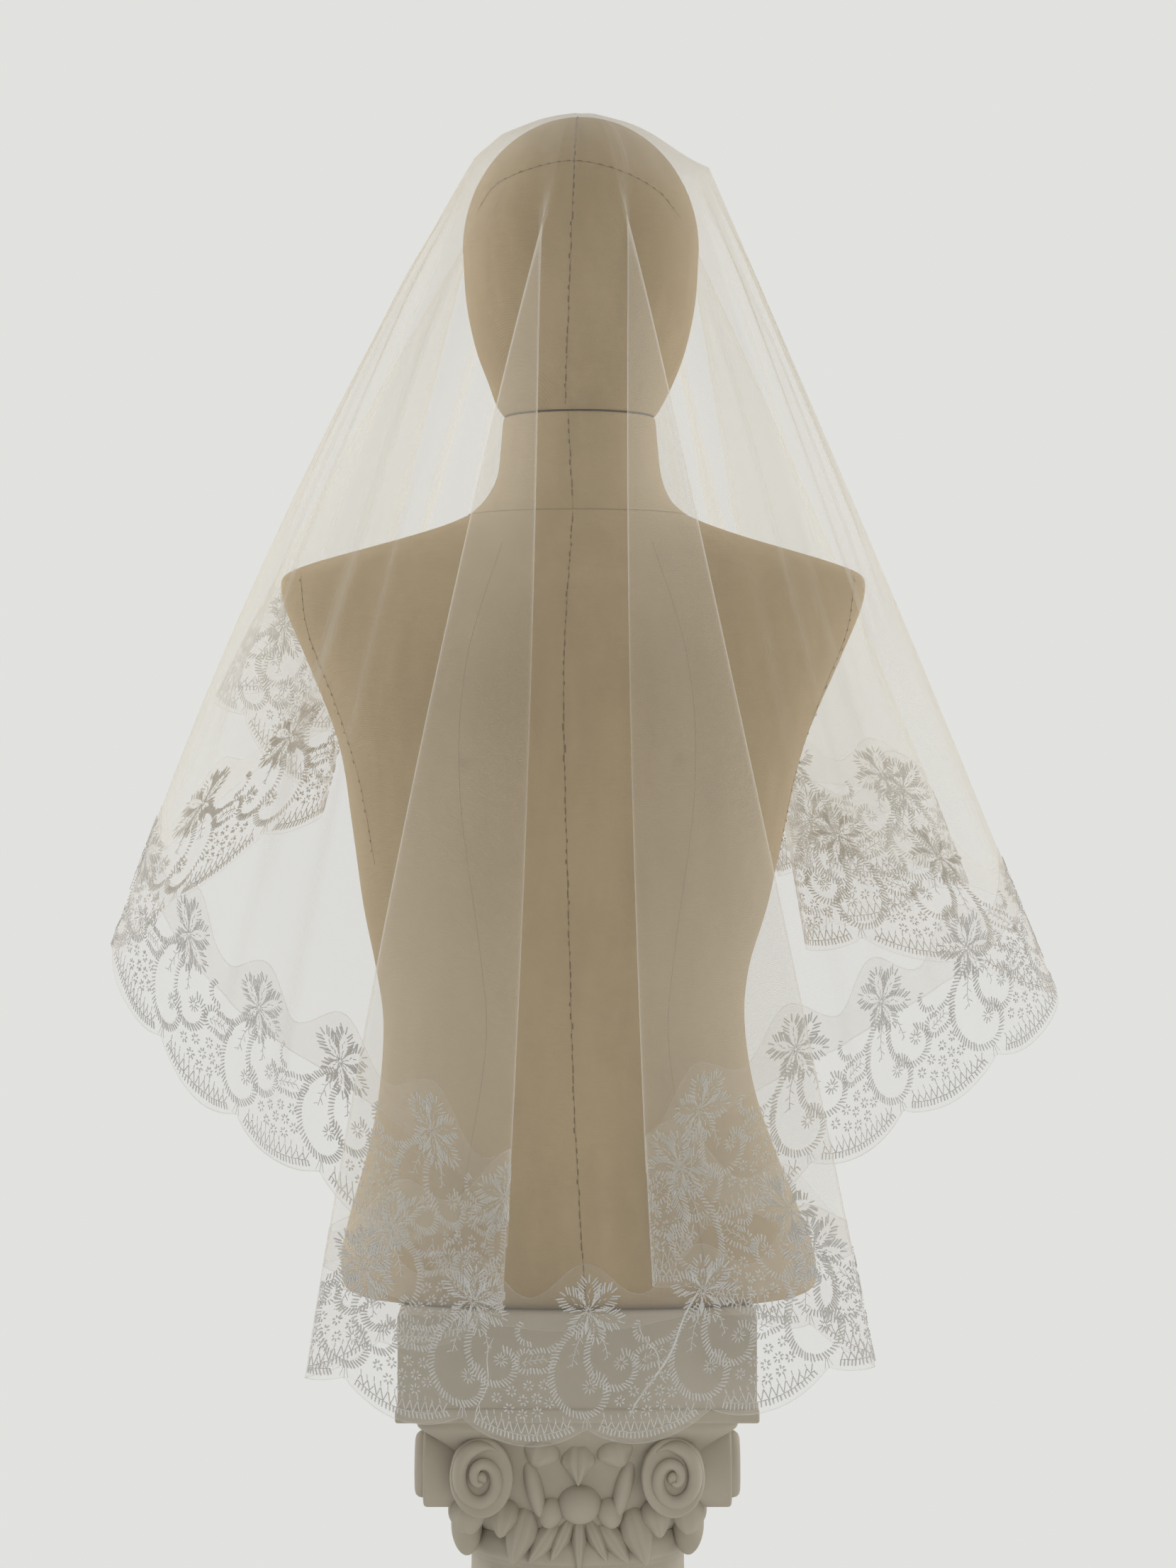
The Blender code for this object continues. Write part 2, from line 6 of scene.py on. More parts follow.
import bpy
import numpy as np
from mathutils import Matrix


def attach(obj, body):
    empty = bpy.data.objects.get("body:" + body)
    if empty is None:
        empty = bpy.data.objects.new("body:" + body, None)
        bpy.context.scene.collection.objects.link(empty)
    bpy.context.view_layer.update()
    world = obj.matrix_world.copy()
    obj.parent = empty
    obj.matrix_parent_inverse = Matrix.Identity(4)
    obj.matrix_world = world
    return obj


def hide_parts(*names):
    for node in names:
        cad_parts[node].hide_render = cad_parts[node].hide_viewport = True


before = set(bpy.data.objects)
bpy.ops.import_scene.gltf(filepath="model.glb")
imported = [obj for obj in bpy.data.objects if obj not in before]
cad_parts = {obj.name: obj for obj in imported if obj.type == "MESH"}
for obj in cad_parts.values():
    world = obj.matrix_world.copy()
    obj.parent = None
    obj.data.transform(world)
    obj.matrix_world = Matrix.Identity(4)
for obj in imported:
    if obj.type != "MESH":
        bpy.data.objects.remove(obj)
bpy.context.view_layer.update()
scene = bpy.context.scene

# Camera, stage and light
studio = {
    "camera": (0.0067, -2.3, 0.764),
    "lens": 80.7,
    "surround": (0.755, 0.757, 0.738),
    "fill": (0.190, 0.188, 0.176),
    "glow": (0.93, 0.94, 0.94),
    "floorRadius": 1.05,
    "floorPaint": (0.82, 0.82, 0.80),
}


def addCamera():
    data = bpy.data.cameras.new("camera")
    data.lens = studio["lens"]
    data.sensor_width = 36.0
    data.clip_end = 60.0
    camera = bpy.data.objects.new("camera", data)
    camera.location = studio["camera"]
    camera.rotation_euler = (math.pi / 2, 0.0, 0.0)
    scene.collection.objects.link(camera)
    scene.camera = camera


# Sockets on which Python's signs add Math nodes, and one way to add any other node

class Wire:
    def __init__(self, finish, socket):
        self.finish = finish
        self.socket = socket

    def sign(self, operation, first, second):
        return self.finish.node("ShaderNodeMath", {"operation": operation}, {0: first, 1: second})

    def __add__(self, other):
        return self.sign("ADD", self, other)

    def __radd__(self, other):
        return self.sign("ADD", other, self)

    def __sub__(self, other):
        return self.sign("SUBTRACT", self, other)

    def __rsub__(self, other):
        return self.sign("SUBTRACT", other, self)

    def __mul__(self, other):
        return self.sign("MULTIPLY", self, other)

    def __rmul__(self, other):
        return self.sign("MULTIPLY", other, self)

    def __truediv__(self, other):
        return self.sign("DIVIDE", self, other)

    def __gt__(self, other):
        return self.sign("GREATER_THAN", self, other)

    def __lt__(self, other):
        return self.sign("LESS_THAN", self, other)

    def to(self, low, high, newLow=0.0, newHigh=1.0):      # smooth step between two values
        return self.finish.node(
            "ShaderNodeMapRange",
            {"interpolation_type": "SMOOTHSTEP"},
            {"Value": self, "From Min": low, "From Max": high, "To Min": newLow, "To Max": newHigh},
        )


class Finish:
    def __init__(self, name, owner=None):
        self.material = owner or bpy.data.materials.new(name)
        self.material.use_nodes = True
        self.tree = self.material.node_tree
        self.tree.nodes.clear()

    def node(self, kind, settings=None, sockets=None, out=0):
        made = self.tree.nodes.new(kind)
        for key, value in (settings or {}).items():
            if key == "stops":
                for spot, (at, colour) in enumerate(value):
                    stop = made.color_ramp.elements[spot] if spot < 2 else made.color_ramp.elements.new(at)
                    stop.position = at
                    stop.color = (*colour, 1.0)
            else:
                setattr(made, key, value)
        for key, value in (sockets or {}).items():
            if isinstance(value, Wire):
                self.tree.links.new(value.socket, made.inputs[key])
            elif isinstance(value, tuple) and len(value) == 3 and made.inputs[key].type == "RGBA":
                made.inputs[key].default_value = (*value, 1.0)
            else:
                made.inputs[key].default_value = value
        return Wire(self, made.outputs[out] if made.outputs else None)

    def place(self, scale=(1.0, 1.0, 1.0), turn=(0.0, 0.0, 0.0)):
        coordinates = self.node("ShaderNodeTexCoord", out=3)
        return self.node("ShaderNodeMapping", {}, {"Vector": coordinates, "Rotation": turn, "Scale": scale})

    def parts(self, vector):
        made = self.node("ShaderNodeSeparateXYZ", {}, {0: vector})
        return [Wire(self, made.socket.node.outputs[i]) for i in range(3)]

    def noise(self, vector, scale, detail=3.0, roughness=0.55):
        return self.node(
            "ShaderNodeTexNoise", {}, {"Vector": vector, "Scale": scale, "Detail": detail, "Roughness": roughness}
        )

    def wave(self, values, pitch):                          # 0 to 1, along a number in metres
        return self.node("ShaderNodeMath", {"operation": "SINE"}, {0: values * (2 * math.pi / pitch)}) * 0.5 + 0.5

    def mix(self, share, first, second):
        return self.node(
            "ShaderNodeMix", {"data_type": "RGBA"}, {0: share, 6: first, 7: second}, out=2
        )

    def bump(self, height, strength, distance):
        return self.node(
            "ShaderNodeBump", {}, {"Height": height, "Strength": strength, "Distance": distance}
        )

    def shader(self, **sockets):
        names = {key.replace("_", " ").title().replace("Ior", "IOR"): value for key, value in sockets.items()}
        return self.node("ShaderNodeBsdfPrincipled", {}, names)

    def done(self, shader):
        self.node("ShaderNodeOutputMaterial", {}, {"Surface": shader})
        return self.material


def linenFinish():
    made = Finish("linenTwill")
    spot = made.place()
    x, y, z = made.parts(spot)
    twill = made.wave(x + y + z * 1.25, 0.0014)
    slub = made.noise(made.place((90.0, 90.0, 900.0)), 1.0, 2.0)
    cloudy = made.noise(spot, 9.0, 4.0) * 0.6 + made.noise(made.place((1.0, 1.0, 0.25)), 70.0, 3.0) * 0.4
    colour = made.mix(cloudy.to(0.38, 0.62), linen["shade"], linen["colour"])
    colour = made.mix((twill * slub).to(0.10, 0.75) * 0.38, colour, linen["thread"])
    for place, radius, depth in linen["stains"]:
        reach = made.node("ShaderNodeVectorMath", {"operation": "DISTANCE"}, {0: spot, 1: place}, out=1)
        smudge = (reach + (made.noise(spot, 160.0, 3.0) - 0.5) * radius * 0.9).to(0.0, radius, depth, 0.0)
        colour = made.mix(smudge, colour, linen["stain"])
    height = twill * 0.6 + slub * 0.6
    return made.done(made.shader(
        base_color=colour, roughness=0.86, specular_ior_level=0.25, normal=made.bump(height, 0.35, 0.0003),
    ))


def plasterFinish():
    made = Finish("palePlaster")
    spot = made.place()
    cloudy = made.noise(spot, 14.0, 5.0)
    grain = made.noise(spot, 420.0, 4.0, 0.6)
    pits = made.noise(spot, 95.0, 2.0).to(0.66, 0.74)
    # painted shade: the hollows of the carving, found by their pointiness, take a darker colour where shade falls
    hollowShadeMask = made.node("ShaderNodeNewGeometry", out=7).to(0.42, 0.52)
    colour = made.mix(cloudy.to(0.30, 0.70), plaster["shade"], plaster["colour"])
    colour = made.mix(hollowShadeMask, plaster["paintedHollowShade"], colour)
    return made.done(made.shader(
        base_color=colour, roughness=grain.to(0.2, 0.8, 0.72, 0.90), specular_ior_level=0.3,
        normal=made.bump(grain * 0.5 - pits * 0.6, 0.30, 0.0004),
    ))


def plainFinish(name, colour, roughness, grainScale, sheen=0.0):
    made = Finish(name)
    grain = made.noise(made.place(), grainScale, 3.0)
    dark = tuple(0.86 * c for c in colour)
    return made.done(made.shader(
        base_color=made.mix(grain.to(0.3, 0.7), dark, colour), roughness=roughness, sheen_weight=sheen,
        normal=made.bump(grain, 0.25, 0.0002),
    ))


def netFinish(name, settings):
    # white net: light comes through it from behind, warmer than what it sends back
    made = Finish(name)
    cloth = made.node("ShaderNodeUVMap", {"uv_map": "cloth"})
    u, v, unused = made.parts(cloth)
    rim = made.node("ShaderNodeAttribute", {"attribute_name": "rim"}, out=2)
    pitch = settings["pitch"]
    meshes = made.wave(u + v * 0.577, pitch) * made.wave(u - v * 0.577, pitch)
    grazing = made.node("ShaderNodeLayerWeight", {}, {"Blend": 0.5}, out=1)
    # the meshes close up where the net is seen at a slant
    cover = settings["cover"] * (1.18 - meshes * (0.7 - grazing * 0.6)) + rim * settings["rim"]
    edge = grazing.to(0.15, 0.95) * settings["grazing"]
    front = made.shader(
        base_color=settings["colour"], roughness=0.55, specular_ior_level=0.2, sheen_weight=0.2,
    )
    behind = made.node("ShaderNodeBsdfTranslucent", {}, {"Color": settings["through"]})
    cloth = made.node("ShaderNodeMixShader", {}, {0: settings["translucency"], 1: front, 2: behind})
    clear = made.node("ShaderNodeBsdfTransparent")
    share = made.node("ShaderNodeClamp", {}, {"Value": cover + edge, "Min": 0.0, "Max": 0.95})
    return made.done(made.node("ShaderNodeMixShader", {}, {0: share, 1: clear, 2: cloth}))


def faintFinish(name, settings):
    # the inner wall of a net, clear because the outer one carries the threads
    made = Finish(name)
    front = made.shader(base_color=settings["colour"], roughness=0.6, specular_ior_level=0.2)
    clear = made.node("ShaderNodeBsdfTransparent")
    return made.done(made.node("ShaderNodeMixShader", {}, {0: settings["inner"], 1: clear, 2: front}))


# Mesh helpers

def meshPiece(name, points, faces, material):
    mesh = bpy.data.meshes.new(name)
    mesh.from_pydata([tuple(point) for point in points], [], [tuple(face) for face in faces])
    mesh.update()
    obj = bpy.data.objects.new(name, mesh)
    scene.collection.objects.link(obj)
    mesh.materials.append(material)
    mesh.polygons.foreach_set("use_smooth", [True] * len(mesh.polygons))
    return obj


def only(obj):                                             # selects one object and makes it the active one
    bpy.ops.object.select_all(action="DESELECT")
    obj.select_set(True)
    bpy.context.view_layer.objects.active = obj


def joined(name, pieces):
    bpy.ops.object.select_all(action="DESELECT")
    for piece in pieces:
        piece.select_set(True)
    bpy.context.view_layer.objects.active = pieces[0]
    bpy.ops.object.join()
    pieces[0].name = name
    pieces[0].data.name = name
    return pieces[0]


def applied(obj, kind, **settings):
    only(obj)
    modifier = obj.modifiers.new(kind.lower(), kind)
    for key, value in settings.items():
        setattr(modifier, key, value)
    bpy.ops.object.modifier_apply(modifier=modifier.name)


def settled(obj):                                          # its place goes into its mesh
    only(obj)
    bpy.ops.object.transform_apply(location=True, rotation=True, scale=True)


def smoothRows(rows, steps):
    table = np.array(rows, float)
    wide = np.vstack([table[0] * 2 - table[1], table, table[-1] * 2 - table[-2]])
    found = []
    for i in range(len(table) - 1):
        a, b, c, d = wide[i:i + 4]
        for t in np.arange(steps) / steps:
            found.append(0.5 * (2 * b + (c - a) * t + (2 * a - 5 * b + 4 * c - d) * t**2 + (3 * b - a - 3 * c + d) * t**3))
    found.append(table[-1])
    return np.array(found)


def roundSection(halfX, back, front, square, sides):
    turn = 2 * np.pi * np.arange(sides) / sides
    across, along = np.cos(turn), np.sin(turn)
    reach = (abs(across) ** square + abs(along) ** square) ** (-1 / square)
    return np.column_stack([halfX * across * reach, np.where(along > 0, front, back) * along * reach])


def loftBody(name, rings, material):
    # a disc is drawn up once for each further ring, then each ring takes its outline
    sides = len(rings[0])
    bpy.ops.object.select_all(action="DESELECT")
    bpy.ops.mesh.primitive_circle_add(vertices=sides, radius=1.0, fill_type="NGON")
    obj = bpy.context.object
    obj.name = name
    bpy.ops.object.mode_set(mode="EDIT")
    bpy.ops.mesh.select_all(action="SELECT")
    for ring in rings[1:]:
        bpy.ops.mesh.extrude_region_move(TRANSFORM_OT_translate={"value": (0.0, 0.0, 1.0)})
    bpy.ops.object.mode_set(mode="OBJECT")
    for vertex in obj.data.vertices:
        level = round(vertex.co.z)
        turn = math.atan2(vertex.co.y, vertex.co.x)
        vertex.co = rings[level][round(turn / (2 * math.pi) * sides) % sides]
    bpy.ops.object.mode_set(mode="EDIT")
    bpy.ops.mesh.select_all(action="SELECT")
    bpy.ops.mesh.normals_make_consistent(inside=False)
    bpy.ops.object.mode_set(mode="OBJECT")
    bpy.ops.object.shade_smooth_by_angle(angle=math.radians(50))
    obj.data.materials.append(material)
    return obj


def sweep(name, path, halfWide, halfHigh, ups, sides, material):
    # a rounded band along a path, closed at both ends
    path, ups = np.array(path, float), np.array(ups, float)
    wide = np.broadcast_to(halfWide, len(path))
    high = np.broadcast_to(halfHigh, len(path))
    along = np.gradient(path, axis=0)
    along /= np.linalg.norm(along, axis=1)[:, None]
    ups = ups - along * (ups * along).sum(1)[:, None]
    ups /= np.linalg.norm(ups, axis=1)[:, None]
    across = np.cross(along, ups)
    turn = 2 * np.pi * np.arange(sides) / sides
    points = (
        path[:, None]
        + across[:, None] * (wide[:, None] * np.cos(turn))[..., None]
        + ups[:, None] * (high[:, None] * np.sin(turn))[..., None]
    ).reshape(-1, 3)
    faces = []
    for ring in range(len(path) - 1):
        for i in range(sides):
            j = (i + 1) % sides
            a, b = ring * sides + i, ring * sides + j
            faces.append((a, b, b + sides, a + sides))
    faces.append(tuple(reversed(range(sides))))
    faces.append(tuple(range((len(path) - 1) * sides, len(path) * sides)))
    obj = meshPiece(name, points, faces, material)
    only(obj)
    bpy.ops.object.mode_set(mode="EDIT")
    bpy.ops.mesh.select_all(action="SELECT")
    bpy.ops.mesh.normals_make_consistent(inside=False)
    bpy.ops.object.mode_set(mode="OBJECT")
    return obj


# The linen form
linen = {
    "colour": (0.61, 0.475, 0.298),
    "shade": (0.55, 0.425, 0.262),
    "thread": (0.42, 0.32, 0.20),
    "stain": (0.20, 0.15, 0.10),
    "seam": (0.44, 0.335, 0.205),
    # near-black colour of the painted shade at the form's joints
    "paintedJointShade": (0.055, 0.042, 0.030),
    "stitch": (0.25, 0.17, 0.10),
    "sides": 96,
    "stains": (((0.066, -0.095, 0.778), 0.010, 0.45), ((-0.072, -0.094, 0.777), 0.009, 0.40),
               ((-0.078, -0.090, 0.848), 0.007, 0.30)),
    "stitchLong": 0.0042,
    "stitchPitch": 0.0066,
    "seamRadius": {"middle": 0.00017, "princess": 0.00013, "arm": 0.00013, "crown": 0.00016},
    "stitchSpan": {"middle": (0.45, 1.25), "crown": (0.4, 0.8), "arm": (0.25, 0.5)},
}
# columns: z, half width, depth behind the centre, depth before it, centre x, centre y, squareness
torsoRings = (
    (0.4340, 0.1470, 0.092, 0.084, 0.001, 0.000, 2.3),
    (0.4365, 0.1520, 0.097, 0.089, 0.001, 0.000, 2.3),
    (0.4420, 0.1545, 0.100, 0.092, 0.001, 0.000, 2.3),
    (0.4600, 0.1540, 0.101, 0.093, 0.000, 0.000, 2.3),
    (0.4900, 0.1450, 0.097, 0.091, -0.002, 0.000, 2.3),
    (0.5250, 0.1330, 0.088, 0.087, -0.004, 0.000, 2.3),
    (0.5650, 0.1225, 0.078, 0.081, -0.007, 0.000, 2.3),
    (0.6090, 0.1180, 0.075, 0.078, -0.009, 0.000, 2.3),
    (0.6450, 0.1220, 0.078, 0.081, -0.010, 0.000, 2.3),
    (0.6850, 0.1320, 0.086, 0.088, -0.008, 0.000, 2.3),
    (0.7350, 0.1410, 0.095, 0.101, -0.006, 0.000, 2.2),
    (0.7900, 0.1520, 0.100, 0.112, -0.004, 0.000, 2.1),
    (0.8420, 0.1730, 0.098, 0.108, -0.003, 0.000, 1.9),
    (0.8750, 0.1870, 0.090, 0.094, -0.003, 0.000, 1.7),
    (0.8920, 0.1910, 0.082, 0.084, -0.003, 0.000, 1.6),
    (0.9010, 0.1880, 0.075, 0.077, -0.003, 0.000, 1.6),
    (0.9080, 0.1720, 0.070, 0.072, -0.003, 0.001, 1.7),
    (0.9160, 0.1450, 0.065, 0.068, -0.002, 0.002, 1.8),
    (0.9250, 0.1130, 0.061, 0.065, -0.001, 0.003, 1.9),
    (0.9330, 0.0880, 0.058, 0.062, 0.000, 0.004, 2.0),
    (0.9397, 0.0720, 0.056, 0.060, 0.000, 0.005, 2.0),
)
neckRings = (
    (0.9400, 0.0715, 0.0555, 0.0595, 0.000, 0.005, 2.0),
    (0.9500, 0.0610, 0.0540, 0.0560, 0.000, 0.006, 2.0),
    (0.9650, 0.0540, 0.0525, 0.0540, 0.001, 0.007, 2.0),
    (0.9850, 0.0515, 0.0515, 0.0540, 0.001, 0.009, 2.0),
    (1.0020, 0.0500, 0.0520, 0.0560, 0.001, 0.010, 2.0),
    (1.0034, 0.0480, 0.0500, 0.0540, 0.001, 0.010, 2.0),
)
headRings = (
    (1.0048, 0.0478, 0.0498, 0.0543, 0.001, 0.010, 2.0),
    (1.0060, 0.0500, 0.0522, 0.0570, 0.001, 0.010, 2.0),
    (1.0130, 0.0545, 0.0580, 0.0640, 0.001, 0.010, 2.0),
    (1.0280, 0.0610, 0.0690, 0.0770, 0.002, 0.010, 2.0),
    (1.0500, 0.0690, 0.0820, 0.0880, 0.002, 0.010, 2.0),
    (1.0800, 0.0752, 0.0925, 0.0945, 0.002, 0.010, 2.0),
    (1.1146, 0.0775, 0.0970, 0.0970, 0.002, 0.010, 2.0),
)
headCentre = np.array((0.002, 0.010, 1.1146))
headHalf = np.array((0.0775, 0.0970, 0.0858))


def formOutlines(rows, steps):
    found = smoothRows(rows, steps)
    return [
        np.column_stack([
            roundSection(half, back, front, square, linen["sides"]) + (cx, cy),
            np.full(linen["sides"], z),
        ])
        for z, half, back, front, cx, cy, square in found
    ]


def headOutlines():
    rings = formOutlines(headRings, 5)
    for turn in np.radians(np.arange(4, 89, 4)):
        half = headHalf * math.cos(turn)
        outline = roundSection(half[0], half[1], half[1], 2.0, linen["sides"]) + headCentre[:2]
        rings.append(np.column_stack([outline, np.full(linen["sides"], headCentre[2] + headHalf[2] * math.sin(turn))]))
    return rings


def onForm(rows, x, z, side=-1):
    # the point of the form's surface at x and z, on its back or front, with its outward direction
    fine = smoothRows(rows, 8)

    def depthAt(px, pz):
        half, back, front, cx, cy, square = (np.interp(pz, fine[:, 0], fine[:, i]) for i in range(1, 7))
        reach = max(0.0, 1 - abs((px - cx) / half) ** square) ** (1 / square)
        return cy + side * (back if side < 0 else front) * reach

    step = 0.001
    here = np.array((x, depthAt(x, z), z))
    slopeX = (depthAt(x + step, z) - depthAt(x - step, z)) / (2 * step)
    slopeZ = (depthAt(x, z + step) - depthAt(x, z - step)) / (2 * step)
    out = np.array((-slopeX, 1.0, -slopeZ)) * side
    return here, out / np.linalg.norm(out)


def onHead(x, z, side=-1):
    if z < headCentre[2]:
        return onForm(headRings, x, z, side)
    reach = np.array((x - headCentre[0], 0.0, z - headCentre[2])) / headHalf
    y = side * headHalf[1] * math.sqrt(max(0.0, 1 - reach[0] ** 2 - reach[2] ** 2))
    out = np.array((reach[0] / headHalf[0], y / headHalf[1] ** 2, reach[2] / headHalf[2]))
    return np.array((x, headCentre[1] + y, z)), out / np.linalg.norm(out)


def seamPaths():
    # name, points as x and z, on the head or on the body, back or front
    paths = []
    for side in (-1, 1):
        drift = 1 if side < 0 else 0
        body = [(-0.003 * drift, 0.9385), (-0.0085 * drift, 0.83), (-0.006 * drift, 0.70),
                (-0.002 * drift, 0.56), (0.005 * drift, 0.4425)]
        paths.append(("middle", torsoRings, side, body))
        neck = [(-0.006 * drift, 1.0025), (-0.003 * drift, 0.9405)]
        paths.append(("middle", neckRings, side, neck))
        head = [(0.0, 1.199), (-0.002 * drift, 1.16), (-0.005 * drift, 1.08), (-0.008 * drift, 1.008)]
        paths.append(("middle", None, side, head))
        arc = [(-0.064, 1.134), (-0.052, 1.148), (-0.026, 1.156), (-0.002, 1.159), (0.024, 1.154), (0.050, 1.143),
               (0.066, 1.128)]
        paths.append(("crown", None, side, arc))
        for hand in (-1, 1):
            princess = [(hand * 0.048, 0.9185), (hand * 0.070, 0.84), (hand * 0.074, 0.76), (hand * 0.062, 0.66),
                        (hand * 0.058, 0.60), (hand * 0.070, 0.52), (hand * 0.084, 0.4425)]
            paths.append(("princess", torsoRings, side, princess))
            arm = [(hand * 0.1800, 0.9000), (hand * 0.1745, 0.862), (hand * 0.1560, 0.815), (hand * 0.1400, 0.765),
                   (hand * 0.1300, 0.712)]
            paths.append(("arm", torsoRings, side, arm))
    return paths


def linenSeams(threadFinish, seamFinish):
    draw = np.random.default_rng(7)
    lines, stitches = [], []
    for kind, rows, side, corners in seamPaths():
        spots = smoothRows(corners, 24)
        found = [onHead(x, z, side) if rows is None else onForm(rows, x, z, side) for x, z in spots]
        points = np.array([point for point, out in found])
        outs = np.array([out for point, out in found])
        radius = linen["seamRadius"][kind]
        lines.append(sweep("seam", points, radius * 1.8, radius, outs, 6, seamFinish))
        length = np.concatenate([[0], np.cumsum(np.linalg.norm(np.diff(points, axis=0), axis=1))])
        if kind == "princess":
            continue
        for start in np.arange(0.004, length[-1] - linen["stitchPitch"], linen["stitchPitch"]):
            ends = start + np.array((0.0, 0.5, 1.0)) * linen["stitchLong"] * draw.uniform(*linen["stitchSpan"][kind])
            path = np.column_stack([np.interp(ends, length, points[:, i]) for i in range(3)])
            up = np.column_stack([np.interp(ends, length, outs[:, i]) for i in range(3)])
            path[:, 0] += draw.normal(0.0, 0.00035, 1)
            path += up * np.array((0.0001, 0.0006, 0.0001))[:, None]
            thick = 0.00036 if kind == "middle" else 0.00022
            stitches.append(sweep("stitch", path, thick, 0.00022, up, 4, threadFinish))
    neck = formOutlines([neckRings[0], neckRings[1]], 1)[0]
    ring = np.vstack([neck, neck[:2]])
    outward = ring - np.array((0.0, 0.005, 0.94))
    lines.append(sweep("seam", ring, 0.0005, 0.0004, outward, 6, seamFinish))
    return joined("formSeams", lines), joined("formStitches", stitches)


def formPieces():
    cloth = linenFinish()
    torso = loftBody("linenTorso", formOutlines(torsoRings, 5), cloth)
    neck = loftBody("linenNeck", formOutlines(neckRings, 5), cloth)
    head = loftBody("linenHead", headOutlines(), cloth)
    # painted shade: a near-black disc fills the joint between neck and head, standing in for the shade there
    jointShadeFinish = plainFinish("jointShadow", linen["paintedJointShade"], 0.9, 300.0)
    paintedJointShade = [np.column_stack([roundSection(0.0488, 0.0508, 0.0550, 2.0, 64) + (0.001, 0.010), np.full(64, z)])
           for z in (1.0030, 1.0052)]
    jointShadeDisc = loftBody("neckJointShade", paintedJointShade, jointShadeFinish)
    # painted shade: a near-black cord round the foot of the form, where it sits on the block
    base = formOutlines([torsoRings[0], torsoRings[1]], 1)[0]
    ring = np.vstack([base, base[:2]]) + (0.0, 0.0, 0.0008)
    baseShadeCord = sweep("baseContactShade", ring, 0.0009, 0.0008, ring - np.array((0.0, 0.0, 0.434)), 6, jointShadeFinish)
    seams, stitches = linenSeams(
        plainFinish("seamThread", linen["stitch"], 0.8, 500.0), plainFinish("seamShade", linen["seam"], 0.9, 400.0)
    )
    for piece, node in ((torso, "form_torso"), (neck, "form_neck"), (head, "form_head")):
        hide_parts(node)
    for piece in (torso, neck, head, jointShadeDisc, baseShadeCord, seams, stitches):
        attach(piece, "root")


# The plaster stand
plaster = {
    "colour": (0.565, 0.52, 0.436),
    "shade": (0.515, 0.47, 0.392),
    # colour of the painted shade in the carving's hollows
    "paintedHollowShade": (0.36, 0.325, 0.265),
    "blockHalf": 0.112,
    "blockFoot": 0.3660,
    "blockTop": 0.4337,
    "lipHalf": 0.1135,
    "lipHigh": 0.009,
    "voluteX": 0.0602,
    "voluteZ": 0.3290,
    "voluteWide": 0.0205,
    "voluteHigh": 0.0262,
    "voluteTurns": 1.6,
    "faceY": 0.098,
    "sides": 96,
}
# columns: z, half width, squareness
bellRings = (
    (0.2850, 0.0710, 2.0), (0.2950, 0.0765, 2.2), (0.3120, 0.0800, 2.8), (0.3300, 0.0835, 4.0), (0.3460, 0.0900, 6.0),
    (0.3560, 0.0990, 10.0), (0.3600, 0.1020, 12.0), (0.3657, 0.1025, 12.0),
)
shaftRings = (
    (0.0750, 0.0860, 2.0), (0.0850, 0.0780, 2.0), (0.1000, 0.0750, 2.0), (0.1400, 0.0735, 2.0), (0.2000, 0.0715, 2.0),
    (0.2560, 0.0695, 2.0), (0.2660, 0.0705, 2.0), (0.2700, 0.0730, 2.0), (0.2760, 0.0735, 2.0), (0.2800, 0.0730, 2.0),
    (0.2847, 0.0710, 2.0),
)
footRings = (
    (0.0440, 0.1050, 8.0), (0.0460, 0.1010, 4.0), (0.0500, 0.0980, 2.0), (0.0560, 0.1005, 2.0), (0.0620, 0.1010, 2.0),
    (0.0680, 0.0980, 2.0), (0.0720, 0.0900, 2.0), (0.0747, 0.0870, 2.0),
)
# forms of one face. columns: x, z, half width, half height, how far it stands out, point at its foot from 0 to 1, lean
faceForms = (
    (0.0006, 0.3365, 0.0112, 0.0150, 0.0100, 0.85, 0),
    (-0.0230, 0.3440, 0.0125, 0.0105, 0.0085, 0.45, 24),
    (0.0245, 0.3440, 0.0125, 0.0105, 0.0085, 0.45, -24),
    (-0.0275, 0.3215, 0.0056, 0.0215, 0.0075, 0.0, -13),
    (0.0295, 0.3215, 0.0056, 0.0215, 0.0075, 0.0, 13),
    (0.0015, 0.3093, 0.0142, 0.0132, 0.0140, 0.0, 0),
    (-0.0170, 0.3035, 0.0085, 0.0105, 0.0110, 0.1, 14),
    (0.0205, 0.3035, 0.0085, 0.0105, 0.0110, 0.1, -14),
    (-0.0465, 0.2990, 0.0105, 0.0130, 0.0110, 0.5, 12),
    (0.0500, 0.2990, 0.0105, 0.0130, 0.0110, 0.5, -12),
    (-0.0360, 0.2880, 0.0105, 0.0200, 0.0100, 0.55, 16),
    (0.0380, 0.2880, 0.0105, 0.0200, 0.0100, 0.55, -16),
    (0.0010, 0.2850, 0.0050, 0.0210, 0.0125, 0.4, 0),
    (-0.0100, 0.2865, 0.0060, 0.0170, 0.0105, 0.5, 24),
    (0.0120, 0.2865, 0.0060, 0.0170, 0.0105, 0.5, -24),
    (-0.0210, 0.2845, 0.0075, 0.0180, 0.0100, 0.5, 34),
    (0.0230, 0.2845, 0.0075, 0.0180, 0.0100, 0.5, -34),
    (-0.0680, 0.3010, 0.0105, 0.0125, 0.0080, 0.3, 0),
    (0.0700, 0.3010, 0.0105, 0.0125, 0.0080, 0.3, 0),
)


def standOutlines(rows, steps, sides):
    return [
        np.column_stack([roundSection(half, half, half, square, sides), np.full(sides, z)])
        for z, half, square in smoothRows(rows, steps)
    ]


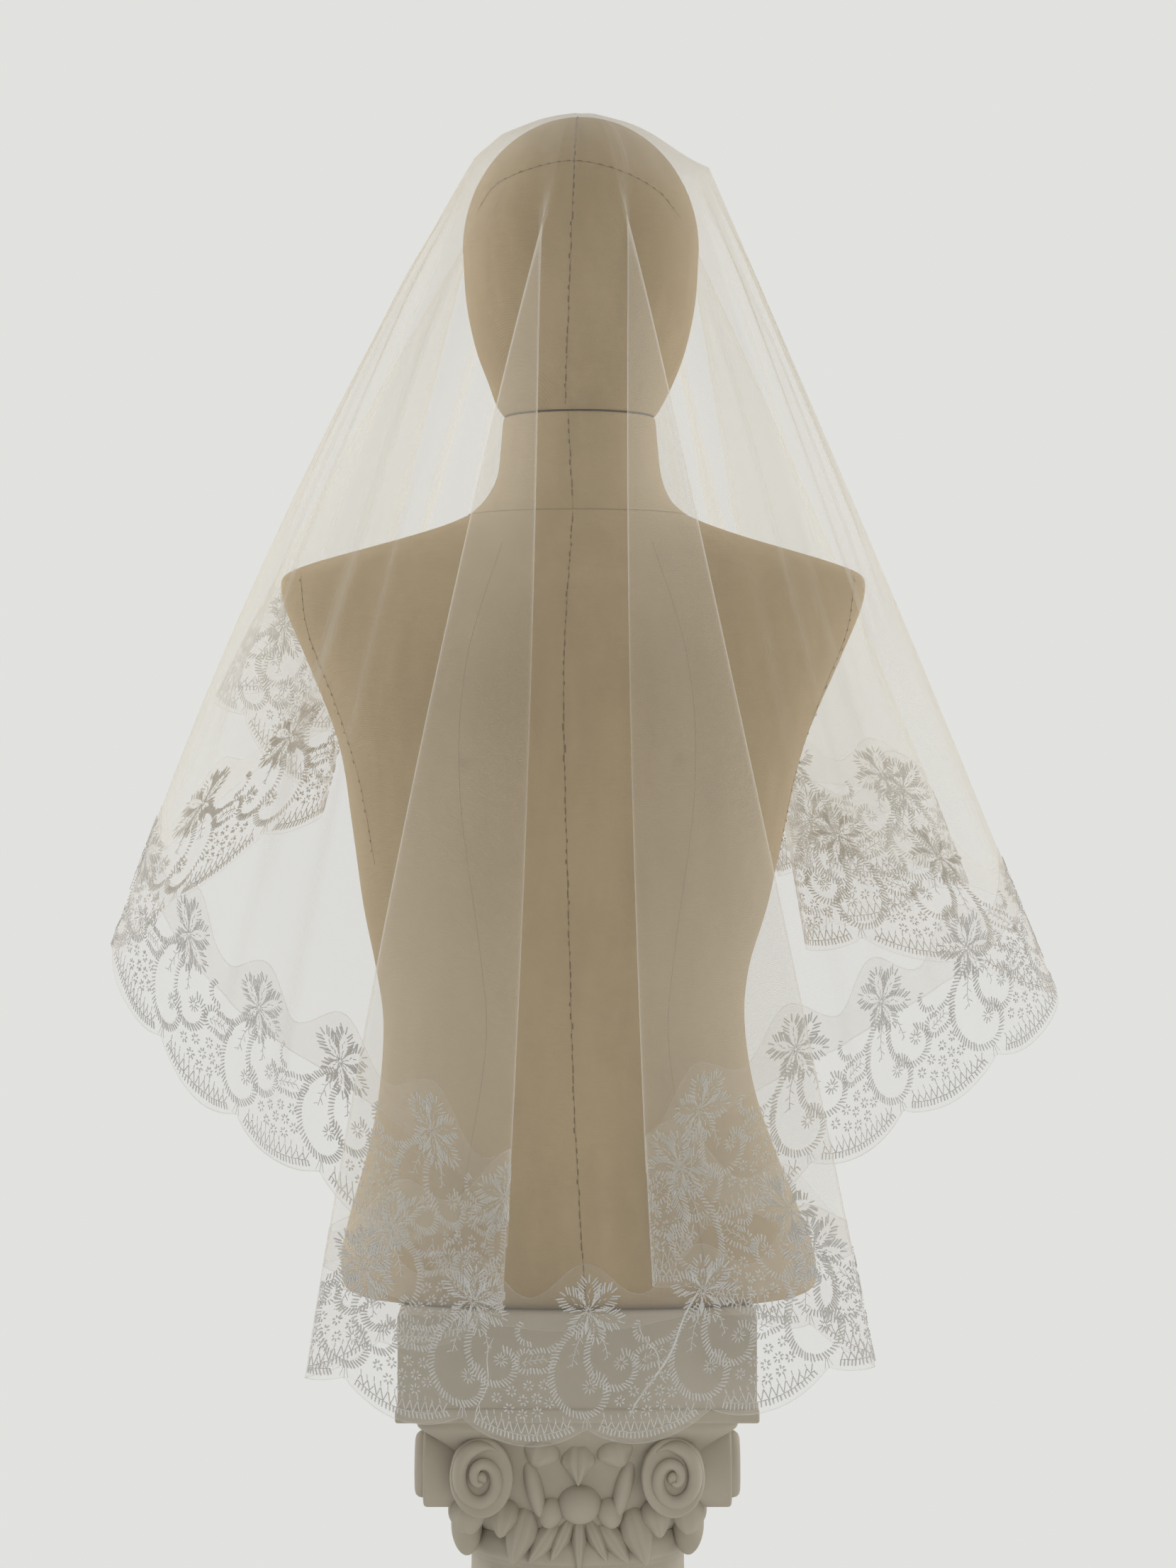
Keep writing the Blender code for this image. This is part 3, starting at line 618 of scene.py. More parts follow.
def slab(name, half, low, high, bevel, material):
    bpy.ops.object.select_all(action="DESELECT")
    bpy.ops.mesh.primitive_cube_add(size=1.0, location=(0.0, 0.0, (low + high) / 2), scale=(2 * half, 2 * half, high - low))
    obj = bpy.context.object
    obj.name = name
    obj.data.materials.append(material)
    settled(obj)
    applied(obj, "BEVEL", width=bevel, segments=3)
    bpy.ops.object.shade_smooth_by_angle(angle=math.radians(35))
    return obj


def bellDepth(z):
    rows = np.array(bellRings)
    return np.interp(z, rows[:, 0], rows[:, 1])


def carvedForm(row, material):
    # a swollen leaf or boss on the face that looks along -Y
    x, z, wide, high, out, point, lean = row
    bpy.ops.object.select_all(action="DESELECT")
    bpy.ops.mesh.primitive_uv_sphere_add(segments=28, ring_count=18, radius=1.0)
    obj = bpy.context.object
    obj.data.materials.append(material)
    for vertex in obj.data.vertices:
        across, depth, up = vertex.co
        narrow = 1 - point * max(0.0, -up) ** 0.9
        rib = 1 - 0.16 * point * math.cos(3 * math.pi * across)
        vertex.co = (across * wide * narrow, depth * out * (rib if depth < 0 else 1.0), up * high)
    obj.rotation_euler = (0.0, math.radians(lean), 0.0)
    depth = bellDepth(z) if abs(x) < 0.045 else bellDepth(z) - 0.004
    obj.location = (x, -depth + out * 0.15, z)
    settled(obj)
    bpy.ops.object.shade_smooth()
    return obj


def voluteForm(hand, material):
    # a rolled scroll with a spiral band raised on its face
    wide, high = plaster["voluteWide"], plaster["voluteHigh"]
    centre = np.array((hand * plaster["voluteX"], -plaster["faceY"], plaster["voluteZ"]))
    bpy.ops.object.select_all(action="DESELECT")
    bpy.ops.mesh.primitive_cylinder_add(vertices=56, radius=1.0, depth=1.0, rotation=(math.pi / 2, 0.0, 0.0))
    roll = bpy.context.object
    settled(roll)
    for vertex in roll.data.vertices:
        x, y, z = vertex.co
        vertex.co = (centre[0] + x * wide * 0.97, centre[1] + 0.021 + y * 0.042, centre[2] + z * high * 0.97)
    applied(roll, "BEVEL", width=0.0022, segments=3)
    only(roll)
    bpy.ops.object.shade_smooth_by_angle(angle=math.radians(40))
    roll.data.materials.append(material)
    share = np.linspace(0.0, 1.0, 90)
    turn = math.pi / 2 + hand * 0.7 - hand * share * plaster["voluteTurns"] * 2 * math.pi
    reach = 0.74 * (1 - share) ** 0.80 + 0.06
    path = np.column_stack([
        centre[0] + np.cos(turn) * reach * wide,
        np.full(90, centre[1] + 0.0004) - 0.0030 * share,
        centre[2] + np.sin(turn) * reach * high,
    ])
    band = (0.0030 * (1 - share) ** 0.5 + 0.0019) * (0.15 + 0.85 * smoothStep(share, 0.0, 0.10))
    scroll = sweep("scroll", path, band, band * 1.1, np.tile((0.0, -1.0, 0.0), (90, 1)), 12, material)
    bpy.ops.object.select_all(action="DESELECT")
    bpy.ops.mesh.primitive_uv_sphere_add(segments=20, ring_count=12, radius=1.0)
    eye = bpy.context.object
    for vertex in eye.data.vertices:
        vertex.co = centre + np.array(vertex.co) * (0.0042, 0.0040, 0.0046)
    bpy.ops.object.shade_smooth()
    eye.data.materials.append(material)
    return [roll, scroll, eye]


def turned(obj, quarters):
    made = obj.copy()
    made.data = obj.data.copy()
    scene.collection.objects.link(made)
    made.rotation_euler = (0.0, 0.0, quarters * math.pi / 2)
    settled(made)
    return made


def standPieces():
    material = plasterFinish()
    block = joined("plasterBlock", [
        slab("block", plaster["blockHalf"], plaster["blockFoot"] + plaster["lipHigh"] * 0.5, plaster["blockTop"], 0.0014, material),
        slab("lip", plaster["lipHalf"], plaster["blockFoot"], plaster["blockFoot"] + plaster["lipHigh"], 0.0016, material),
    ])
    face = [carvedForm(row, material) for row in faceForms]
    face += voluteForm(-1, material) + voluteForm(1, material)
    ornament = joined("faceOrnament", face)
    bell = loftBody("bell", standOutlines(bellRings, 4, plaster["sides"]), material)
    others = [turned(ornament, quarters) for quarters in (1, 2, 3)]
    capital = joined("plasterCapital", [bell, ornament] + others)
    shaft = loftBody("plasterShaft", standOutlines(shaftRings, 4, plaster["sides"]), material)
    plinth = slab("plinth", 0.115, 0.0, 0.0445, 0.0018, material)
    moulding = loftBody("moulding", standOutlines(footRings, 4, plaster["sides"]), material)
    foot = joined("plasterFoot", [plinth, moulding])
    for piece, node in ((block, "stand_block"), (capital, "stand_capital"), (shaft, "stand_shaft"), (foot, "stand_foot")):
        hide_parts(node)
        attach(piece, "root")


# The veil
veil = {
    "columnsPerBend": 9,
    "hangRows": 34,
    "crownRows": 18,
    "wall": 0.00030,
    "laceWall": 0.00022,
    "laceOff": 0.00055,
    "stitchOff": 0.00105,
    "tulleEdgeUp": 0.058,
    "laceHeight": 0.088,
    "laceTopWave": 0.011,
    "scallopDrop": 0.013,
    "repeatPitch": 0.077,
    "offHead": 0.0016,
    "rootSpread": 0.16,
    "mostEndShare": 0.3,
    "puffAt": 0.12,
    "cornerWide": 4.5,
    "facets": (0.0, 0.24, 0.53, 0.82, 1.0),
    "flutter": 0.0016,
    "tulle": {"colour": (0.88, 0.89, 0.90), "through": (1.00, 0.96, 0.84), "translucency": 0.58,
              "cover": 0.160, "inner": 0.0, "rim": 0.16, "grazing": 0.33, "pitch": 0.0012},
    "lace": {"colour": (0.93, 0.92, 0.92), "through": (0.97, 0.93, 0.88), "translucency": 0.50,
             "cover": 0.150, "inner": 0.0, "rim": 0.30, "grazing": 0.30, "pitch": 0.0008},
}
foldColumns = (
    "name", "azimuth", "rootZ", "stand", "hemX", "hemY", "hemZ", "bowX", "bowY", "puff", "puffOn", "round",
)
# in the order that the cloth runs, from the middle of the back towards -X and round
foldRows = (
    ("backMiddle", 0, 1.128, 0.002, 0.005, -0.160, 0.368, 0.000, -0.004, 0.006, 0.006, 0.0),
    ("backLeft", 6, 1.132, 0.006, -0.090, -0.166, 0.383, -0.004, -0.005, 0.008, 0.008, 0.0),
    ("outerLeft", 11.5, 1.137, 0.008, -0.164, -0.146, 0.412, -0.010, -0.006, 0.009, 0.005, 0.012),
    ("innerLeft", 18, 1.137, 0.003, -0.045, -0.127, 0.440, 0.004, -0.004, 0.003, -0.001, 0.010),
    ("underLeft", 27, 1.140, 0.003, -0.112, -0.112, 0.490, 0.000, -0.010, -0.002, -0.002, 0.0),
    ("wingLeftLow", 37, 1.145, 0.003, -0.169, -0.106, 0.530, -0.004, -0.018, 0.000, 0.000, 0.0),
    ("wingLeftMid", 52, 1.150, 0.003, -0.222, -0.058, 0.556, -0.010, -0.022, 0.000, 0.000, 0.0),
    ("wingLeftHigh", 70, 1.158, 0.008, -0.268, -0.036, 0.600, -0.014, -0.014, 0.000, 0.000, 0.0),
    ("sideLeft", 86, 1.166, 0.012, -0.303, 0.020, 0.662, -0.016, 0.000, 0.000, 0.000, 0.034),
    ("frontLeft", 101, 1.164, 0.010, -0.240, 0.068, 0.716, -0.006, 0.006, 0.000, 0.000, 0.0),
    ("foldLeft", 113, 1.154, 0.003, -0.172, 0.098, 0.752, 0.000, 0.010, 0.000, 0.000, 0.020),
    ("farLeft", 125, 1.150, 0.003, -0.246, 0.166, 0.836, -0.006, 0.006, 0.000, 0.000, 0.030),
    ("valleyLeft", 136, 1.146, 0.001, -0.158, 0.150, 0.806, 0.000, 0.008, 0.000, 0.000, 0.024),
    ("noseLeft", 147, 1.144, 0.002, -0.142, 0.262, 0.780, 0.000, 0.006, 0.002, 0.002, 0.032),
    ("valleyMidLeft", 157, 1.140, 0.001, -0.074, 0.150, 0.768, 0.000, 0.008, 0.000, 0.000, 0.024),
    ("noseMidLeft", 169, 1.138, 0.002, -0.042, 0.276, 0.748, 0.000, 0.006, 0.002, 0.002, 0.034),
    ("valleyMiddle", 179, 1.138, 0.001, 0.014, 0.152, 0.738, 0.000, 0.008, 0.000, 0.000, 0.024),
    ("noseMidRight", 190, 1.138, 0.002, 0.056, 0.270, 0.724, 0.000, 0.006, 0.002, 0.002, 0.032),
    ("valleyRight", 201, 1.140, 0.001, 0.090, 0.150, 0.720, 0.000, 0.008, 0.000, 0.000, 0.024),
    ("noseRight", 212, 1.144, 0.002, 0.152, 0.250, 0.712, 0.000, 0.006, 0.002, 0.002, 0.032),
    ("valleyFarRight", 223, 1.150, 0.001, 0.142, 0.142, 0.712, 0.000, 0.008, 0.000, 0.000, 0.020),
    ("farRight", 235, 1.154, 0.004, 0.266, 0.140, 0.704, 0.006, 0.006, 0.000, 0.000, 0.030),
    ("foldRight", 246, 1.160, 0.006, 0.153, 0.088, 0.664, 0.000, 0.010, 0.000, 0.000, 0.020),
    ("frontRight", 258, 1.166, 0.014, 0.240, 0.058, 0.658, 0.004, 0.006, 0.000, 0.000, 0.0),
    ("sideRight", 273, 1.169, 0.024, 0.312, 0.012, 0.632, 0.002, 0.000, 0.000, 0.000, 0.030),
    ("wingRightHigh", 290, 1.160, 0.012, 0.272, -0.040, 0.592, 0.004, -0.014, 0.000, 0.000, 0.0),
    ("wingRightMid", 307, 1.152, 0.004, 0.220, -0.060, 0.564, 0.004, -0.022, 0.000, 0.000, 0.0),
    ("wingRightLow", 320, 1.146, 0.003, 0.160, -0.104, 0.536, 0.000, -0.018, 0.000, 0.000, 0.0),
    ("underRight", 331, 1.140, 0.003, 0.104, -0.112, 0.508, 0.000, -0.010, -0.002, -0.002, 0.0),
    ("innerRight", 338, 1.137, 0.003, 0.046, -0.127, 0.466, -0.006, -0.004, -0.001, 0.003, 0.010),
    ("outerRight", 343.5, 1.137, 0.008, 0.180, -0.146, 0.420, 0.004, -0.006, 0.005, 0.009, 0.012),
    ("backRight", 351, 1.132, 0.006, 0.104, -0.164, 0.390, 0.002, -0.005, 0.008, 0.008, 0.0),
)
# soft creases on top of the folds. columns: fold, shift along the run in bends, from and to as shares of the fold's
# length, depth, half width in bends
creaseRows = (
    ("backMiddle", -0.25, 0.55, 1.05, 0.0030, 0.10),
    ("backMiddle", 0.20, 0.62, 0.98, -0.0020, 0.16),
    ("backRight", 0.25, 0.80, 1.10, 0.0040, 0.16),
    ("backLeft", -0.30, 0.72, 1.08, 0.0035, 0.12),
    ("underLeft", 0.10, 0.30, 0.95, 0.0030, 0.20),
    ("wingLeftLow", 0.35, 0.25, 1.02, 0.0050, 0.16),
    ("wingLeftMid", 0.00, 0.05, 0.80, 0.0050, 0.20),
    ("wingLeftMid", 0.45, 0.40, 1.05, -0.0045, 0.18),
    ("wingLeftHigh", 0.10, 0.00, 0.60, 0.0060, 0.18),
    ("wingLeftHigh", 0.55, 0.08, 0.75, 0.0040, 0.16),
    ("sideLeft", -1.55, 0.00, 0.50, 0.0050, 0.20),
    ("frontLeft", 0.10, 0.10, 0.85, 0.0040, 0.14),
    ("frontRight", -0.10, 0.10, 0.90, 0.0045, 0.14),
    ("sideRight", 1.60, 0.00, 0.55, 0.0055, 0.18),
    ("wingRightHigh", 0.05, 0.00, 0.62, 0.0065, 0.18),
    ("wingRightHigh", -0.45, 0.10, 0.55, 0.0040, 0.16),
    ("wingRightHigh", 0.40, 0.35, 1.05, -0.0040, 0.18),
    ("wingRightMid", 0.20, 0.10, 0.90, 0.0040, 0.13),
    ("wingRightLow", -0.20, 0.35, 1.05, 0.0045, 0.16),
    ("underRight", 0.00, 0.30, 0.95, 0.0030, 0.20),
)
creaseLines = (
    ((-0.78, 0.072, -0.28, 0.004), 0.00070),
    ((-0.36, 0.060, -0.52, 0.020), 0.00040),
    ((0.62, 0.050, 0.70, -0.004), 0.00035),
)
stretchRows = (
    ("Back", "outerRight", "outerLeft"),
    ("PleatLeft", "outerLeft", "innerLeft"),
    ("WingLeft", "innerLeft", "sideLeft"),
    ("FrontLeft", "sideLeft", "farLeft"),
    ("FrontMiddleLeft", "farLeft", "noseMidLeft"),
    ("FrontMiddleRight", "noseMidLeft", "farRight"),
    ("FrontRight", "farRight", "sideRight"),
    ("WingRight", "sideRight", "innerRight"),
    ("PleatRight", "innerRight", "outerRight"),
)


def away(azimuth):
    turn = math.radians(azimuth)
    return np.array((-math.sin(turn), -math.cos(turn), 0.0))


def rootOf(fold):
    up = (fold["rootZ"] - headCentre[2]) / headHalf[2]
    out = math.sqrt(max(0.0, 1 - up * up))
    direction = away(fold["azimuth"])
    scale = np.array((headHalf[0] * out, headHalf[1] * out, 0.0))
    centre = np.array((headCentre[0], headCentre[1], fold["rootZ"]))
    return centre + direction * scale + direction * (fold["stand"] + veil["offHead"])


def foldValues(fold, push):
    hem = (fold["hemX"], fold["hemY"], fold["hemZ"])
    bow = (fold["bowX"], fold["bowY"], 0.0)
    return np.concatenate([rootOf(fold), hem, bow, away(fold["azimuth"]) * push])


def foldControls():
    # root, hem, bow and puff: one row for a plain fold and four round each rounded one
    folds = [dict(zip(foldColumns, row)) for row in foldRows]
    rows, places = [], {}
    for i, fold in enumerate(folds):
        if fold["round"] == 0:
            places[fold["name"]] = float(len(rows))
            rows.append(foldValues(fold, fold["puff"]))
            continue
        before, after = folds[i - 1], folds[(i + 1) % len(folds)]
        sides = (
            (1, foldValues(fold, fold["puff"]), foldValues(before, fold["puff"])),
            (-1, foldValues(fold, fold["puffOn"]), foldValues(after, fold["puffOn"])),
        )
        reaches = [(other - here)[3:6] * (1, 1, 0) for side, here, other in sides]
        across = reaches[0] / np.linalg.norm(reaches[0]) - reaches[1] / np.linalg.norm(reaches[1])
        across = across / np.linalg.norm(across) * fold["round"] / 2
        for (side, here, other), reach in zip(sides, reaches):
            share = min(veil["mostEndShare"], fold["round"] / np.linalg.norm(reach))
            pair = []
            for part in (0.0, share):
                row = here + (other - here) * part
                row[0:3] = here[0:3] + (other - here)[0:3] * (part + veil["rootSpread"])
                row[3:6] += across * side
                pair.append(row)
            rows += pair[::-side]
        places[fold["name"]] = len(rows) - 2.5
    return np.array(rows), places


controls, foldPlaces = foldControls()
bends = len(controls)


def runValues(places):
    whole = np.floor(places + 0.5).astype(int)
    share = (places + 0.5 - whole)[:, None]
    before, here, after = (controls[(whole + step) % bends] for step in (-1, 0, 1))
    return 0.5 * (1 - share) ** 2 * before + (0.5 + share * (1 - share)) * here + 0.5 * share**2 * after


finePlaces = np.arange(bends * 16 + 1) / 16
fineHems = runValues(finePlaces)[:, 3:6]
fineLengths = np.concatenate([[0.0], np.cumsum(np.linalg.norm(np.diff(fineHems, axis=0), axis=1))])
repeats = round(fineLengths[-1] / veil["repeatPitch"])
repeatLong = fineLengths[-1] / repeats


def phaseOf(places):
    turns, rest = np.divmod(places, bends)
    return (np.interp(rest, finePlaces, fineLengths) / fineLengths[-1] + turns) * repeats


def placeOf(phases):
    turns, rest = np.divmod(phases, repeats)
    return np.interp(rest / repeats * fineLengths[-1], fineLengths, finePlaces) + turns * bends


def smoothStep(values, low, high):
    share = np.clip((values - low) / (high - low), 0.0, 1.0)
    return share * share * (3 - 2 * share)


def creaseDepth(places, shares):
    depth = np.zeros(len(places))
    for name, shift, start, end, deep, wide in creaseRows:
        apart = (places - foldPlaces[name] - shift + bends / 2) % bends - bends / 2
        reach = smoothStep(shares, start, start + 0.15) * (1 - smoothStep(shares, end - 0.15, end))
        depth += deep * np.exp(-((apart / wide) ** 2)) * reach
    phases = phaseOf(places)
    low = smoothStep(shares, 0.55, 1.0)
    wavy = np.sin(phases * 4.1 + 0.7) + 0.6 * np.sin(phases * 9.7 + 2.1) + 0.5 * np.sin(phases * 2.3 + shares * 5)
    return depth + veil["flutter"] * wavy * low * 0.5


def plainPoints(places, heights):
    values = runValues(places)
    root, hem, bow, puff = (values[:, i:i + 3] for i in (0, 3, 6, 9))
    shares = 1 - heights / np.linalg.norm(hem - root, axis=1)
    swell = shares / veil["puffAt"] * np.exp(1 - shares / veil["puffAt"])
    share = shares[:, None]
    return root + (hem - root) * share + bow * 4 * share * (1 - share) + puff * swell[:, None], shares


def clothPoints(places, heights, off=0.0):
    # points of the cloth at a distance outside its middle, with their outward directions
    points, shares = plainPoints(places, heights)
    along = plainPoints(places + 0.02, heights)[0] - plainPoints(places - 0.02, heights)[0]
    down = plainPoints(places, heights - 0.004)[0] - points
    outs = np.cross(along, down)
    outs /= np.linalg.norm(outs, axis=1)[:, None]
    return points + outs * (off + creaseDepth(places, shares))[:, None], outs


def nearFold(places, name, wide):
    apart = (places - foldPlaces[name] + bends / 2) % bends - bends / 2
    return np.exp(-((apart / wide) ** 2))[:, None]


def crownPoints(places, share):
    # from the pole at 0 to the fold's root at 1, faceted at the left and with a sharp corner at the right
    values = runValues(places)
    root, hem = values[:, 0:3], values[:, 3:6]
    down = (hem - root) / np.linalg.norm(hem - root, axis=1)[:, None]
    pole = headCentre + (0.0, 0.0, headHalf[2] + veil["offHead"])
    level = root - pole
    drop = -level[:, 2:3]
    level = level * (1, 1, 0)
    sharp = nearFold(places, "sideRight", veil["cornerWide"])
    first = pole + level * 0.56
    second = root - down * drop * 0.56 * (1 - sharp) - (root - pole) * 0.36 * sharp

    def onCurve(t):
        rest = 1 - t
        return rest**3 * pole + 3 * rest**2 * t * first + 3 * rest * t**2 * second + t**3 * root

    knots = veil["facets"]
    here = next(i for i in range(len(knots) - 1) if share < knots[i + 1] + 1e-9)
    start, end = onCurve(knots[here]), onCurve(knots[here + 1])
    flat = start + (end - start) * (share - knots[here]) / (knots[here + 1] - knots[here])
    faceted = nearFold(places, "sideLeft", veil["cornerWide"])
    return onCurve(share) * (1 - faceted) + flat * faceted


def clothMesh(name, rows, closeTop, edges, thick, finishes):
    # rows of points round the veil, from the top down. edges: the rows at which the cloth is cut
    count = len(rows[0])
    points = np.vstack(rows)
    faces = []
    for row in range(len(rows) - 1):
        for i in range(count):
            j = (i + 1) % count
            faces.append((row * count + i, row * count + j, row * count + count + j, row * count + count + i))
    if closeTop:
        points = np.vstack([points, rows[0].mean(axis=0)])
        top = len(points) - 1
        faces += [(top, (i + 1) % count, i) for i in range(count)]
    obj = meshPiece(name, points, faces, finishes[0])
    obj.data.materials.append(finishes[1])
    around = [np.concatenate([[0.0], np.cumsum(np.linalg.norm(np.diff(np.vstack([row, row[:1]]), axis=0), axis=1))])
              for row in rows]
    down = np.vstack([np.zeros(count), np.cumsum(np.linalg.norm(np.diff(np.array(rows), axis=0), axis=2), axis=0)])
    layer = obj.data.uv_layers.new(name="cloth")
    flat = np.zeros((len(obj.data.loops), 2))
    for face in obj.data.polygons:
        indices = list(face.vertices)
        columns = [index % count for index in indices if index < len(rows) * count]
        wraps = count - 1 in columns and 0 in columns
        for loop, index in zip(face.loop_indices, indices):
            if index == len(rows) * count:
                continue
            row, column = divmod(index, count)
            last = wraps and column == 0
            flat[loop] = (around[row][count if last else column], down[row][column])
    layer.data.foreach_set("uv", flat.ravel())
    rim = obj.data.attributes.new("rim", "FLOAT", "POINT")
    marks = np.zeros(len(points))
    for row in edges:
        marks[row * count:(row + 1) * count] = 1.0
    rim.data.foreach_set("value", marks)
    applied(obj, "SOLIDIFY", thickness=thick, offset=0.0, use_rim=True, material_offset=1)
    return obj


def laceTop(places):
    return veil["laceHeight"] + veil["laceTopWave"] * np.cos(2 * np.pi * phaseOf(places))


def laceFoot(places):
    return -veil["scallopDrop"] * np.abs(np.sin(np.pi * phaseOf(places))) ** 0.7


def tullePiece():
    # the run starts at the front, so that the net's pattern meets there
    start = foldPlaces["valleyMiddle"]
    count = bends * veil["columnsPerBend"]
    places = start + np.arange(count) / veil["columnsPerBend"]
    values = runValues(places)
    lengths = np.linalg.norm(values[:, 3:6] - values[:, 0:3], axis=1)
    rows = [crownPoints(places, share) for share in np.linspace(0.06, 1.0, veil["crownRows"], endpoint=False)]
    shares = np.linspace(0.0, 1.0, veil["hangRows"]) ** 1.25
    foot = veil["tulleEdgeUp"]
    for share in shares:
        heights = foot + 0.0012 + (lengths - foot - 0.0012) * (1 - share)
        rows.append(clothPoints(places, heights)[0])
    rows.append(clothPoints(places, np.full(count, foot))[0])
    finishes = (netFinish("ivoryTulle", veil["tulle"]), faintFinish("ivoryTulleInside", veil["tulle"]))
    return clothMesh("veilTulle", rows, True, [len(rows) - 1], veil["wall"], finishes)


def lacePiece():
    start = foldPlaces["valleyMiddle"]
    phases = phaseOf(np.array([start]))[0] + np.arange(repeats * 18) / 18
    places = placeOf(phases)
    top, foot = laceTop(places), laceFoot(places)
    heights = [top, top - 0.0011]
    heights += [top - 0.0011 + (foot + 0.0022 - top) * share for share in np.linspace(0.0, 1.0, 10)[1:]]
    heights.append(foot)
    rows = [clothPoints(places, height, veil["laceOff"])[0] for height in heights]
    finishes = (netFinish("laceNet", veil["lace"]), faintFinish("laceNetInside", veil["lace"]))
    return clothMesh("laceGround", rows, False, [0, len(rows) - 1], veil["laceWall"], finishes)


# One repeat of the embroidery, in millimetres along the hem and above it. A stroke is one stitch: two ends and a width.
motif = {
    "strokeWide": 0.98,
    "hairLong": 5.6,
    "hairPitch": 2.2,
    "flower": (2.0, 70.0),
    "petals": ((88, 21.5, 8.2), (34, 23.0, 7.8), (-20, 24.5, 7.0), (-72, 21.0, 6.2), (-128, 18.0, 6.2), (148, 22.0, 7.8)),
    "petalStrokes": 8,
    "florets": ((21.0, 14.5), (29.0, 9.0), (37.5, 6.5), (46.5, 8.5), (53.5, 14.5), (46.0, 17.0), (37.5, 15.0),
                (30.0, 19.5), (40.5, 24.0), (50.0, 25.5)),
    "largeScroll": (2.5, 24.5),
    "smallScroll": (22.5, 37.5),
}


def spiralPath(eye, reach, fromTurn, toTurn, endReach, narrow=1.0):
    turn = np.radians(np.linspace(fromTurn, toTurn, 70))
    share = np.linspace(0.0, 1.0, 70)
    far = reach * (endReach / reach) ** share
    return np.column_stack([eye[0] + far * np.cos(turn) * narrow, eye[1] + far * np.sin(turn)])


def evenPoints(path, pitch):
    length = np.concatenate([[0.0], np.cumsum(np.linalg.norm(np.diff(path, axis=0), axis=1))])
    spots = np.arange(0.0, length[-1], pitch)
    return np.column_stack([np.interp(spots, length, path[:, i]) for i in (0, 1)])


def stemStrokes(path, pitch=2.3, wide=0.50):
    spots = evenPoints(path, pitch)
    return [(*a, *(b + (b - a) * 0.18), wide) for a, b in zip(spots, spots[1:])]


def hairStrokes(path, pitch, long, lean=0.35, inner=0.25, wide=None):
    # stitches across a line, most of each on one side of it
    spots = evenPoints(path, pitch)
    ways = np.gradient(spots, axis=0)
    ways /= np.linalg.norm(ways, axis=1)[:, None]
    found = []
    for spot, way in zip(spots, ways):
        across = np.array((way[1], -way[0])) + way * lean
        across /= np.linalg.norm(across)
        found.append((*(spot - across * long * inner), *(spot + across * long * (1 - inner)), wide or motif["strokeWide"]))
    return found


def roundStrokes(centre, low, high, count, wide, start=0.0):
    found = []
    for i in range(count):
        turn = start + 2 * math.pi * i / count
        way = np.array((math.cos(turn), math.sin(turn)))
        found.append((*(centre + way * low), *(centre + way * high), wide))
    return found


def petalStrokes(centre, turn, long, half):
    # stitches on both sides of a petal, from within it to its pointed outline
    axis = np.array((math.cos(math.radians(turn)), math.sin(math.radians(turn))))
    side = np.array((-axis[1], axis[0]))
    found = [(*(centre + axis * (long - 4.6)), *(centre + axis * (long + 1.0)), motif["strokeWide"])]
    for i in range(motif["petalStrokes"]):
        t = i / (motif["petalStrokes"] - 1)
        reach = half * math.sin(math.pi * (0.18 + 0.66 * t)) ** 0.8
        for hand in (-1, 1):
            drift = long * (0.27 + 0.62 * t) + 0.5 * hand
            inner = centre + axis * (drift - 2.6) + side * hand * (reach * 0.34)
            outer = centre + axis * (drift + 2.3) + side * hand * (reach + 1.1 * (i % 2))
            found.append((*inner, *outer, motif["strokeWide"]))
    for i in range(3):
        spot = centre + axis * (4.4 + i * long * 0.15)
        found.append((*spot, *(spot + axis * 3.0 + side * (0.8 if i % 2 else -0.8)), 0.6))
    return found


def sprigStrokes(path, twig, pitch):
    found = stemStrokes(path, 2.4, 0.5)
    spots = evenPoints(path, pitch)
    ways = np.gradient(spots, axis=0)
    for i, (spot, way) in enumerate(zip(spots, ways)):
        way = way / np.linalg.norm(way)
        side = np.array((-way[1], way[0])) * (1 if i % 2 else -1)
        found.append((*spot, *(spot + (way * 0.75 + side) * twig), 0.5))
    return found


def leafStrokes():
    # a curled leaf beside the flower, with a small branch over it
    left = spiralPath((38.5, 38.5), 6.6, 62, 300, 6.2)
    upper = smoothRows([left[0], (46.5, 46.0), (53.0, 46.5), (59.0, 50.5)], 10)
    lower = smoothRows([left[-1], (48.5, 33.5), (54.0, 36.5), (57.5, 42.0)], 10)
    found = hairStrokes(left[::-1], 2.2, 4.2, -0.3, 0.5)
    found += hairStrokes(upper, 2.2, 4.2, 0.3, 0.5) + hairStrokes(lower[::-1], 2.2, 4.4, 0.3, 0.5)
    spine = smoothRows([(36.0, 37.5), (42.5, 39.5), (50.0, 41.0)], 8)
    found += sprigStrokes(spine, 2.8, 1.8)
    branch = smoothRows([(41.0, 49.0), (34.5, 50.5), (32.0, 57.0), (35.0, 62.0)], 8)
    return found + hairStrokes(branch, 2.1, 4.2, 0.3, 0.5)


